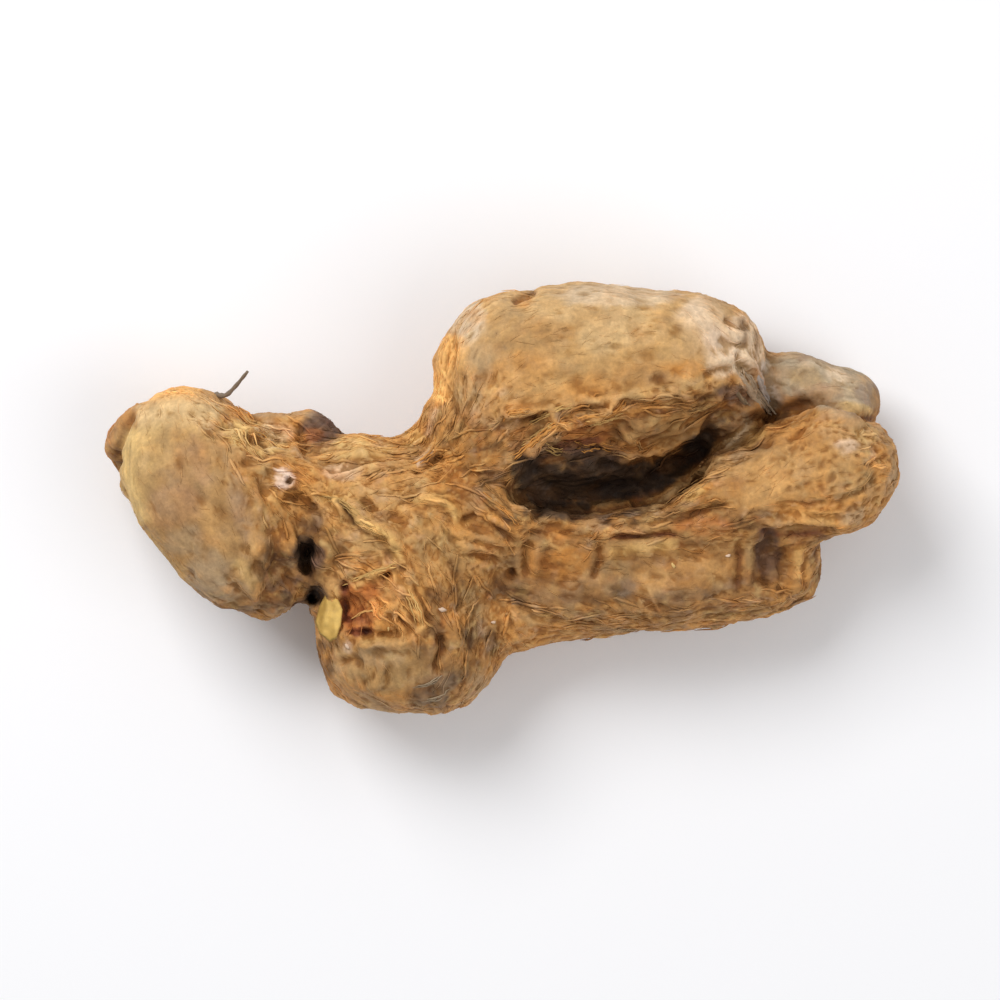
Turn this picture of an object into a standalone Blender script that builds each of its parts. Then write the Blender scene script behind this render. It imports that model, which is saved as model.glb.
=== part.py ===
# A dried ginger root: one whole rhizome, lying on its broad back.
#
# It is modelled as it grew, as one solid. Rounded lobes and fingers run into one another, a deep
# mouth opens between the bulb and the arm, and the underside is flat only on the few spots that it
# rests on. Remeshing and smoothing the lobes as one body blends them where they meet.
# +X runs along the root, +Y across it, and +Z away from the surface that it lies on.

import math

import bmesh
import bpy
from mathutils import Euler, Vector, noise

MM = 0.001

# The whole root
LENGTH = 95 * MM
WIDTH = 51.7 * MM
REST_DEPTH = 0.6 * MM
FACE_COUNT = 9600

# How finely the lobes are made, and how they are blended
LOBE_DETAIL = 5
BEAD_DETAIL = 3
FINGER_BEADS = 22
JOIN_VOXEL = 0.75 * MM
SMOOTHING = 0.5
JOIN_PASSES = 7
CUTTER_PASSES = 3
FINAL_PASSES = 2

# Unevenness of the skin: the size of the swellings, and how far they stand out
SWELLING_SIZE = 9 * MM
SWELLING_HEIGHT = 0.8 * MM
WRINKLE_SIZE = 3.6 * MM
WRINKLE_HEIGHT = 0.35 * MM

# Lobes, in millimetres and degrees: the middle, the half sizes, the turn about X, Y and Z,
# how square the lobe is (2 is an ellipsoid), and how much it narrows towards its own +X end
PADDLE = dict(middle=(-33.7, 0.1, 16.2), half=(8.4, 14.4, 9.9), turn=(8, -8, 31), square=2.6)
PADDLE_SIDE = dict(middle=(-27.6, -4.6, 14.8), half=(5.4, 7.3, 8.6), turn=(0, 0, 18), square=2.2)
PADDLE_MIDDLE = dict(middle=(-34.8, 0.9, 12.6), half=(7.7, 11.8, 9.6), turn=(0, 0, 31), square=2.3)
PADDLE_FLANK = dict(middle=(-39.6, 6.6, 11.6), half=(8.2, 5.8, 8.6), turn=(0, 0, 8), square=2.2)
PADDLE_BACK = dict(middle=(-37.0, 4.6, 9.0), half=(8.6, 8.8, 9.6), turn=(0, 0, 22), square=2.3)
COLLAR = dict(middle=(-26.0, 1.6, 14.8), half=(8.2, 6.4, 8.8), turn=(0, 0, -8), square=2.2)
NECK = dict(middle=(-13.0, -3.2, 13.2), half=(14.2, 10.6, 10.8), turn=(0, 0, -8), square=2.4)
LOWER_LOBE = dict(middle=(-11.2, -16.0, 10.6), half=(11.0, 9.4, 10.6), turn=(4, 0, 0), square=2.4)
BULB = dict(middle=(11.9, 16.3, 13.9), half=(19.2, 9.7, 13.1), turn=(0, 0, 6.5), square=2.9, taper=0.2)
BULB_ROOT = dict(middle=(-1.0, 7.6, 15.4), half=(8.0, 8.4, 8.4), turn=(0, 0, 30), square=2.3)
BULB_CHEEK = dict(middle=(15.5, 9.4, 10.4), half=(15.5, 6.2, 7.8), turn=(0, 0, 12), square=2.3)
FLANK = dict(middle=(17.4, -7.4, 10.0), half=(21.0, 7.8, 9.8), turn=(0, 3, 2), square=2.5)
MOUTH_FLOOR = dict(middle=(17.0, 3.0, 5.6), half=(21.0, 9.0, 4.4), turn=(0, 0, 12), square=2.0)
SIDE_KNOB = dict(middle=(38.0, 13.3, 9.0), half=(7.9, 4.3, 5.4), turn=(0, 0, -20), square=2.4)

# Fingers and webs, in millimetres: points along the middle line, and the radius at each
STUB_LINE = [(-33.0, 6.6, 12.0), (-27.0, 8.0, 11.0), (-22.8, 8.2, 10.6)]
STUB_RADIUS = [4.0, 3.4, 3.1]
ARM_LINE = [(3.0, -5.6, 15.5), (16.0, -4.0, 17.0), (27.0, -0.4, 16.6), (39.2, 4.0, 14.8)]
ARM_RADIUS = [4.2, 3.4, 5.2, 8.2]
ARM_BACK_LINE = [(30.0, 2.4, 8.0), (38.2, 4.2, 7.6)]
ARM_BACK_RADIUS = [6.6, 7.1]
NECK_TOP_LINE = [(-24.0, 2.2, 13.5), (-16.0, 2.4, 14.0), (-11.0, 4.2, 14.2), (-3.0, 7.0, 14.5), (2.0, 9.0, 14.0)]
NECK_TOP_RADIUS = [4.2, 4.0, 4.3, 5.2, 7.0]
TRUNK_LINE = [(-30.0, -0.4, 11.5), (-14.0, -3.4, 12.0), (1.0, 1.0, 12.5), (14.0, 6.0, 10.0)]
TRUNK_RADIUS = [7.6, 10.4, 10.0, 8.0]
LOWER_WEB_LINE = [(-12.2, -5.0, 12.6), (-11.2, -15.0, 11.6)]
LOWER_WEB_RADIUS = [11.0, 10.2]
FLANK_WEB_LINE = [(-8.0, -11.0, 9.6), (8.0, -8.8, 9.6)]
FLANK_WEB_RADIUS = [8.6, 7.8]

# The mouth between the bulb and the arm, in millimetres: the line along the bottom of the hollow, and
# the half width there and at its open top. It widens towards the bulb, so the arm's side is upright.
MOUTH_LINE = [
    (2.2, 0.6, 17.0),
    (6.5, 0.2, 14.6),
    (11.5, 0.2, 13.6),
    (17.0, 1.0, 13.0),
    (21.5, 2.9, 13.2),
    (26.0, 6.2, 13.6),
    (31.0, 10.0, 14.0),
]
MOUTH_RADIUS = [1.2, 1.9, 2.0, 1.8, 1.7, 1.6, 1.3]
MOUTH_TOP_RADIUS = [2.0, 4.0, 4.2, 3.9, 3.4, 2.6, 1.8]
MOUTH_TOP = 22.0
MOUTH_COLUMNS = 26
COLUMN_BEADS = 8

SKIN_COLOUR = (0.42, 0.24, 0.10, 1.0)
SKIN_ROUGHNESS = 0.85


def clear_scene():
    for obj in list(bpy.data.objects):
        bpy.data.objects.remove(obj, do_unlink=True)


def add_lobe(body, middle, half, turn=(0, 0, 0), square=2.0, taper=0.0):
    # A sphere swollen towards a box and narrowed along its own +X, then sized, turned and placed.
    turned = Euler([math.radians(angle) for angle in turn]).to_matrix()
    made = bmesh.ops.create_icosphere(body, subdivisions=LOBE_DETAIL, radius=1.0)
    for vert in made["verts"]:
        spot = vert.co.normalized()
        swell = sum(abs(part) ** square for part in spot) ** (-1 / square)
        spot = spot * swell
        narrow = 1 - taper * spot.x
        sized = Vector((spot.x * half[0], spot.y * half[1] * narrow, spot.z * half[2] * narrow))
        vert.co = (turned @ sized + Vector(middle)) * MM


def along(line, radii, share):
    # The place and the radius at a share of the way along a line of points.
    spans = len(line) - 1
    step = min(int(share * spans), spans - 1)
    part = share * spans - step
    eased = part * part * (3 - 2 * part)
    place = Vector(line[step]).lerp(Vector(line[step + 1]), part)
    return place, radii[step] + (radii[step + 1] - radii[step]) * eased


def add_finger(body, line, radii, beads=FINGER_BEADS):
    # A round finger along a line: beads close enough to run together when they are joined.
    for bead in range(beads):
        place, radius = along(line, radii, bead / (beads - 1))
        made = bmesh.ops.create_icosphere(body, subdivisions=BEAD_DETAIL, radius=radius * MM)
        bmesh.ops.translate(body, verts=made["verts"], vec=place * MM)


def object_from(body, name):
    mesh = bpy.data.meshes.new(name)
    body.to_mesh(mesh)
    body.free()
    obj = bpy.data.objects.new(name, mesh)
    bpy.context.scene.collection.objects.link(obj)
    return obj


def make_guide(obj):
    # A guide only cuts the root: it isn't part of it.
    obj.hide_render = True
    obj.display_type = "WIRE"


def apply_modifiers(obj):
    graph = bpy.context.evaluated_depsgraph_get()
    result = bpy.data.meshes.new_from_object(obj.evaluated_get(graph))
    obj.modifiers.clear()
    obj.data = result


def join_and_smooth(obj, passes):
    remesh = obj.modifiers.new("join", "REMESH")
    remesh.mode = "VOXEL"
    remesh.voxel_size = JOIN_VOXEL
    smooth = obj.modifiers.new("soften", "SMOOTH")
    smooth.factor = SMOOTHING
    smooth.iterations = passes
    apply_modifiers(obj)


def cut(obj, cutter):
    boolean = obj.modifiers.new("cut", "BOOLEAN")
    boolean.operation = "DIFFERENCE"
    boolean.solver = "EXACT"
    boolean.object = cutter
    apply_modifiers(obj)


def add_left_end(body):
    # The broad paddle, its back, the stub beside it, and the collar that joins it to the neck.
    add_lobe(body, **PADDLE)
    add_lobe(body, **PADDLE_SIDE)
    add_lobe(body, **PADDLE_MIDDLE)
    add_lobe(body, **PADDLE_FLANK)
    add_lobe(body, **PADDLE_BACK)
    add_lobe(body, **COLLAR)
    add_finger(body, STUB_LINE, STUB_RADIUS)


def add_middle(body):
    # The neck, the lobe below it, and the trunk that runs through all of the root.
    add_lobe(body, **NECK)
    add_lobe(body, **LOWER_LOBE)
    add_finger(body, NECK_TOP_LINE, NECK_TOP_RADIUS)
    add_finger(body, TRUNK_LINE, TRUNK_RADIUS)
    add_finger(body, LOWER_WEB_LINE, LOWER_WEB_RADIUS)


def add_right_end(body):
    # The large bulb, the arm with the flank under it, and the small knob between their ends.
    add_lobe(body, **BULB)
    add_lobe(body, **BULB_ROOT)
    add_lobe(body, **BULB_CHEEK)
    add_lobe(body, **FLANK)
    add_lobe(body, **MOUTH_FLOOR)
    add_lobe(body, **SIDE_KNOB)
    add_finger(body, ARM_LINE, ARM_RADIUS)
    add_finger(body, ARM_BACK_LINE, ARM_BACK_RADIUS)
    add_finger(body, FLANK_WEB_LINE, FLANK_WEB_RADIUS)


def make_lobes():
    body = bmesh.new()
    add_left_end(body)
    add_middle(body)
    add_right_end(body)
    root = object_from(body, "ginger_root")
    join_and_smooth(root, JOIN_PASSES)
    return root


def cut_mouth(root):
    # The hollow is a row of upright columns side by side, open at the top.
    body = bmesh.new()
    for column in range(MOUTH_COLUMNS):
        share = column / (MOUTH_COLUMNS - 1)
        place, radius = along(MOUTH_LINE, MOUTH_RADIUS, share)
        top_radius = along(MOUTH_LINE, MOUTH_TOP_RADIUS, share)[1]
        top = (place.x, place.y + top_radius - radius, MOUTH_TOP)
        add_finger(body, [tuple(place), top], [radius, top_radius], beads=COLUMN_BEADS)
    hollow = object_from(body, "mouth_hollow")
    join_and_smooth(hollow, CUTTER_PASSES)
    make_guide(hollow)
    cut(root, hollow)
    join_and_smooth(root, FINAL_PASSES)


def roughen(root):
    # Swellings and wrinkles push the skin in and out along its own direction.
    verts = root.data.vertices
    directions = [vert.normal.copy() for vert in verts]
    for vert, direction in zip(verts, directions):
        swelling = noise.noise(vert.co / SWELLING_SIZE) * SWELLING_HEIGHT
        wrinkle = noise.noise(vert.co / WRINKLE_SIZE) * WRINKLE_HEIGHT
        vert.co += direction * (swelling + wrinkle)


def box_of(mesh):
    spots = [vert.co for vert in mesh.vertices]
    low = Vector([min(spot[axis] for spot in spots) for axis in range(3)])
    high = Vector([max(spot[axis] for spot in spots) for axis in range(3)])
    return low, high


def fit_to_size(root):
    # Stretches the root to its length and width, and sinks it by the depth of its rest spots.
    low, high = box_of(root.data)
    middle = (low + high) / 2
    stretch_x = LENGTH / (high.x - low.x)
    stretch_y = WIDTH / (high.y - low.y)
    for vert in root.data.vertices:
        vert.co.x = (vert.co.x - middle.x) * stretch_x
        vert.co.y = (vert.co.y - middle.y) * stretch_y
        vert.co.z = vert.co.z - low.z - REST_DEPTH


def thin_faces(root):
    # Fewer and larger faces where the skin is nearly flat.
    root.data.calc_loop_triangles()
    thin = root.modifiers.new("thin", "DECIMATE")
    thin.ratio = FACE_COUNT / len(root.data.loop_triangles)
    root.modifiers.new("faces", "TRIANGULATE")
    apply_modifiers(root)


def flatten_rest(root):
    # The lowest spots of the lobes are level, where the root lies on the surface at z = 0.
    body = bmesh.new()
    bmesh.ops.create_cube(body, size=2 * LENGTH)
    bmesh.ops.translate(body, verts=body.verts, vec=(0, 0, -LENGTH))
    ground = object_from(body, "ground")
    make_guide(ground)
    cut(root, ground)


def skin_material():
    material = bpy.data.materials.new("ginger_skin")
    material.use_nodes = True
    shader = material.node_tree.nodes["Principled BSDF"]
    shader.inputs["Base Color"].default_value = SKIN_COLOUR
    shader.inputs["Roughness"].default_value = SKIN_ROUGHNESS
    shader.inputs["Metallic"].default_value = 0.0
    return material


def make_ginger_root():
    root = make_lobes()
    cut_mouth(root)
    roughen(root)
    fit_to_size(root)
    thin_faces(root)
    flatten_rest(root)
    root.data.materials.clear()
    root.data.materials.append(skin_material())
    root.data.shade_smooth()


clear_scene()
make_ginger_root()
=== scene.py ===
import math

import bmesh
import bpy
import numpy as np
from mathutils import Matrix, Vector
from mathutils.bvhtree import BVHTree


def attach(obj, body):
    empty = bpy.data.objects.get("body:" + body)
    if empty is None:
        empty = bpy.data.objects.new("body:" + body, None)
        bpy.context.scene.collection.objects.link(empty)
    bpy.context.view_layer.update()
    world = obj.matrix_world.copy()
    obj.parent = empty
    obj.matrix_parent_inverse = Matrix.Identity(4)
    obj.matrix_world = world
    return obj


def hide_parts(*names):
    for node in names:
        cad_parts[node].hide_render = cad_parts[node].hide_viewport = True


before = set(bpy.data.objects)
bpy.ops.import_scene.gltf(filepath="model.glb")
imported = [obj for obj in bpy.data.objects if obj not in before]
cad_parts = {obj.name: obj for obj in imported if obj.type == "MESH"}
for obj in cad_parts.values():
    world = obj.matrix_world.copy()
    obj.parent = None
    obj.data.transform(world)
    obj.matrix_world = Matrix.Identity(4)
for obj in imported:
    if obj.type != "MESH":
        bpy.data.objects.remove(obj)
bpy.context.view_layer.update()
mm = 0.001

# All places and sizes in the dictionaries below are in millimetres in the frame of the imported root,
# unless a note says otherwise: +X along the root, +Y across it, +Z up.


# Small helpers

def linkObject(name, data):
    piece = bpy.data.objects.new(name, data)
    bpy.context.scene.collection.objects.link(piece)
    return piece


def bakeModifiers(piece):
    graph = bpy.context.evaluated_depsgraph_get()
    plain = bpy.data.meshes.new_from_object(piece.evaluated_get(graph))
    piece.modifiers.clear()
    piece.data = plain


def smoothStep(low, high, value):
    share = np.clip((value - low) / (high - low), 0.0, 1.0)
    return share * share * (3 - 2 * share)


def unit(vectors):
    return vectors / (np.linalg.norm(vectors, axis=-1, keepdims=True) + 1e-12)


def noiseAt(spots, seed):
    # Smooth random values, about -1 to 1, one swelling to each unit of length
    table = unit(np.random.default_rng(seed).standard_normal((4096, 3)))
    cell = np.floor(spots).astype(np.int64)
    part = spots - cell
    fade = part ** 3 * (part * (part * 6 - 15) + 10)
    total = np.zeros(len(spots))
    for corner in range(8):
        step = np.array([corner >> 2 & 1, corner >> 1 & 1, corner & 1])
        keys = ((cell + step) * np.array([73856093, 19349663, 83492791])).T
        lean = table[(keys[0] ^ keys[1] ^ keys[2]) % 4096]
        weight = np.where(step, fade, 1 - fade).prod(1)
        total += weight * ((part - step) * lean).sum(1)
    return total * 1.7


def lumps(places, size, seed, octaves=1, rough=0.5):
    total = np.zeros(len(places))
    height = 1.0
    for octave in range(octaves):
        total += height * noiseAt(places / size + 40.3 + octave * 7.7, seed * 10 + octave)
        size *= 0.5
        height *= rough
    return total


def toLine(places, line, reach=1e6):
    # Distance from each place to a line, how far along it is (0 to 1), its direction there, and on
    # which side of it the place lies (1 is left of the line's direction, seen from above).
    # Places beyond the reach are left out: they get a huge distance
    line = np.array(line, float)
    flat = places[:, :2]
    some = np.flatnonzero(((flat > line.min(0) - reach) & (flat < line.max(0) + reach)).all(1))
    nearest = np.full(len(places), 1e9)
    along = np.zeros(len(places))
    heading = np.zeros((len(places), 2))
    side = np.zeros(len(places))
    lengths = np.linalg.norm(np.diff(line, axis=0), axis=1)
    starts = np.concatenate([[0], np.cumsum(lengths)])
    for step in range(len(line) - 1):
        run = line[step + 1] - line[step]
        away = flat[some] - line[step]
        part = np.clip((away @ run) / (run @ run), 0, 1)
        gap = np.linalg.norm(away - part[:, None] * run, axis=1)
        closer = gap < nearest[some]
        chosen = some[closer]
        nearest[chosen] = gap[closer]
        along[chosen] = ((starts[step] + part * lengths[step]) / starts[-1])[closer]
        heading[chosen] = run / lengths[step]
        side[chosen] = np.sign(run[0] * away[closer, 1] - run[1] * away[closer, 0])
    return nearest, along, heading, side


def insideOval(places, middle, half, turn=0.0):
    # 0 in the middle of an oval seen from above, 1 on its edge
    angle = math.radians(turn)
    across = places[:, :2] - np.array(middle)
    u = across[:, 0] * math.cos(angle) + across[:, 1] * math.sin(angle)
    v = -across[:, 0] * math.sin(angle) + across[:, 1] * math.cos(angle)
    return np.hypot(u / half[0], v / half[1])


# The skin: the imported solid, remade as a fine even mesh that the details are pushed into

skinBase = {
    "firstVoxel": 0.36,
    "fineVoxel": 0.24,
    "roundPasses": 5,
    "triangles": 195000,
}


def addRemesh(piece, size, passes):
    even = piece.modifiers.new("even", "REMESH")
    even.mode = "VOXEL"
    even.voxel_size = size * mm
    if passes:
        soft = piece.modifiers.new("soft", "SMOOTH")
        soft.factor = 0.5
        soft.iterations = passes


def makeBase():
    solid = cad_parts["ginger_root"]
    piece = linkObject("ginger_skin", solid.data.copy())
    merged = bmesh.new()
    merged.from_mesh(piece.data)
    bmesh.ops.remove_doubles(merged, verts=merged.verts, dist=1e-6)
    bmesh.ops.recalc_face_normals(merged, faces=merged.faces)
    merged.to_mesh(piece.data)
    merged.free()
    rounder = piece.modifiers.new("round", "SUBSURF")
    rounder.levels = 2
    rounder.render_levels = 2
    addRemesh(piece, skinBase["firstVoxel"], skinBase["roundPasses"])
    bakeModifiers(piece)
    return piece


class Skin:
    # The mesh as arrays: places and directions in millimetres, and who is next to whom
    def __init__(self, piece):
        self.piece = piece
        self.mesh = piece.data
        self.count = len(self.mesh.vertices)
        flat = np.empty(self.count * 3, np.float32)
        self.mesh.vertices.foreach_get("co", flat)
        self.places = flat.reshape(-1, 3).astype(float) / mm
        self.readDirections()
        self.findNeighbours()

    def readDirections(self):
        flat = np.empty(self.count * 3, np.float32)
        self.mesh.vertices.foreach_get("normal", flat)
        self.out = unit(flat.reshape(-1, 3).astype(float))

    def findNeighbours(self):
        loops = np.empty(len(self.mesh.loops), np.int32)
        self.mesh.loops.foreach_get("vertex_index", loops)
        starts = np.empty(len(self.mesh.polygons), np.int32)
        totals = np.empty(len(self.mesh.polygons), np.int32)
        self.mesh.polygons.foreach_get("loop_start", starts)
        self.mesh.polygons.foreach_get("loop_total", totals)
        pairs = []
        for corners in (3, 4):
            faces = loops[starts[totals == corners][:, None] + np.arange(corners)]
            for a in range(corners):
                for b in range(a):
                    pairs.append(faces[:, [a, b]])
        pairs = np.concatenate(pairs)
        pairs = np.concatenate([pairs, pairs[:, ::-1]]).astype(np.int64)
        keys = np.unique(pairs[:, 0] * self.count + pairs[:, 1])
        owner, other = keys // self.count, keys % self.count
        first = np.searchsorted(owner, np.arange(self.count))
        many = np.bincount(owner, minlength=self.count)
        self.ring = np.tile(np.arange(self.count)[:, None], (1, 10))
        for slot in range(10):
            has = many > slot
            self.ring[has, slot] = other[first[has] + slot]

    def spread(self, values, passes):
        for _ in range(passes):
            values = 0.5 * values + 0.5 * values[self.ring].mean(axis=1)
        return values

    def push(self, distance):
        # Moves the skin out (or in, if negative) by that many millimetres
        self.places = self.places + self.out * distance[:, None]
        self.store()

    def restOnFloor(self):
        # Nothing reaches below the surface the root lies on
        low = self.places[:, 2] < 0.3
        self.places[low, 2] = 0.3 * np.exp(np.maximum(self.places[low, 2] - 0.3, -3) / 0.3)
        self.store()

    def store(self):
        self.mesh.vertices.foreach_set("co", (self.places * mm).astype(np.float32).ravel())
        self.mesh.update()
        self.readDirections()


# Large forms: ledges, lips, creases and holes, as lines seen from above

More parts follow.
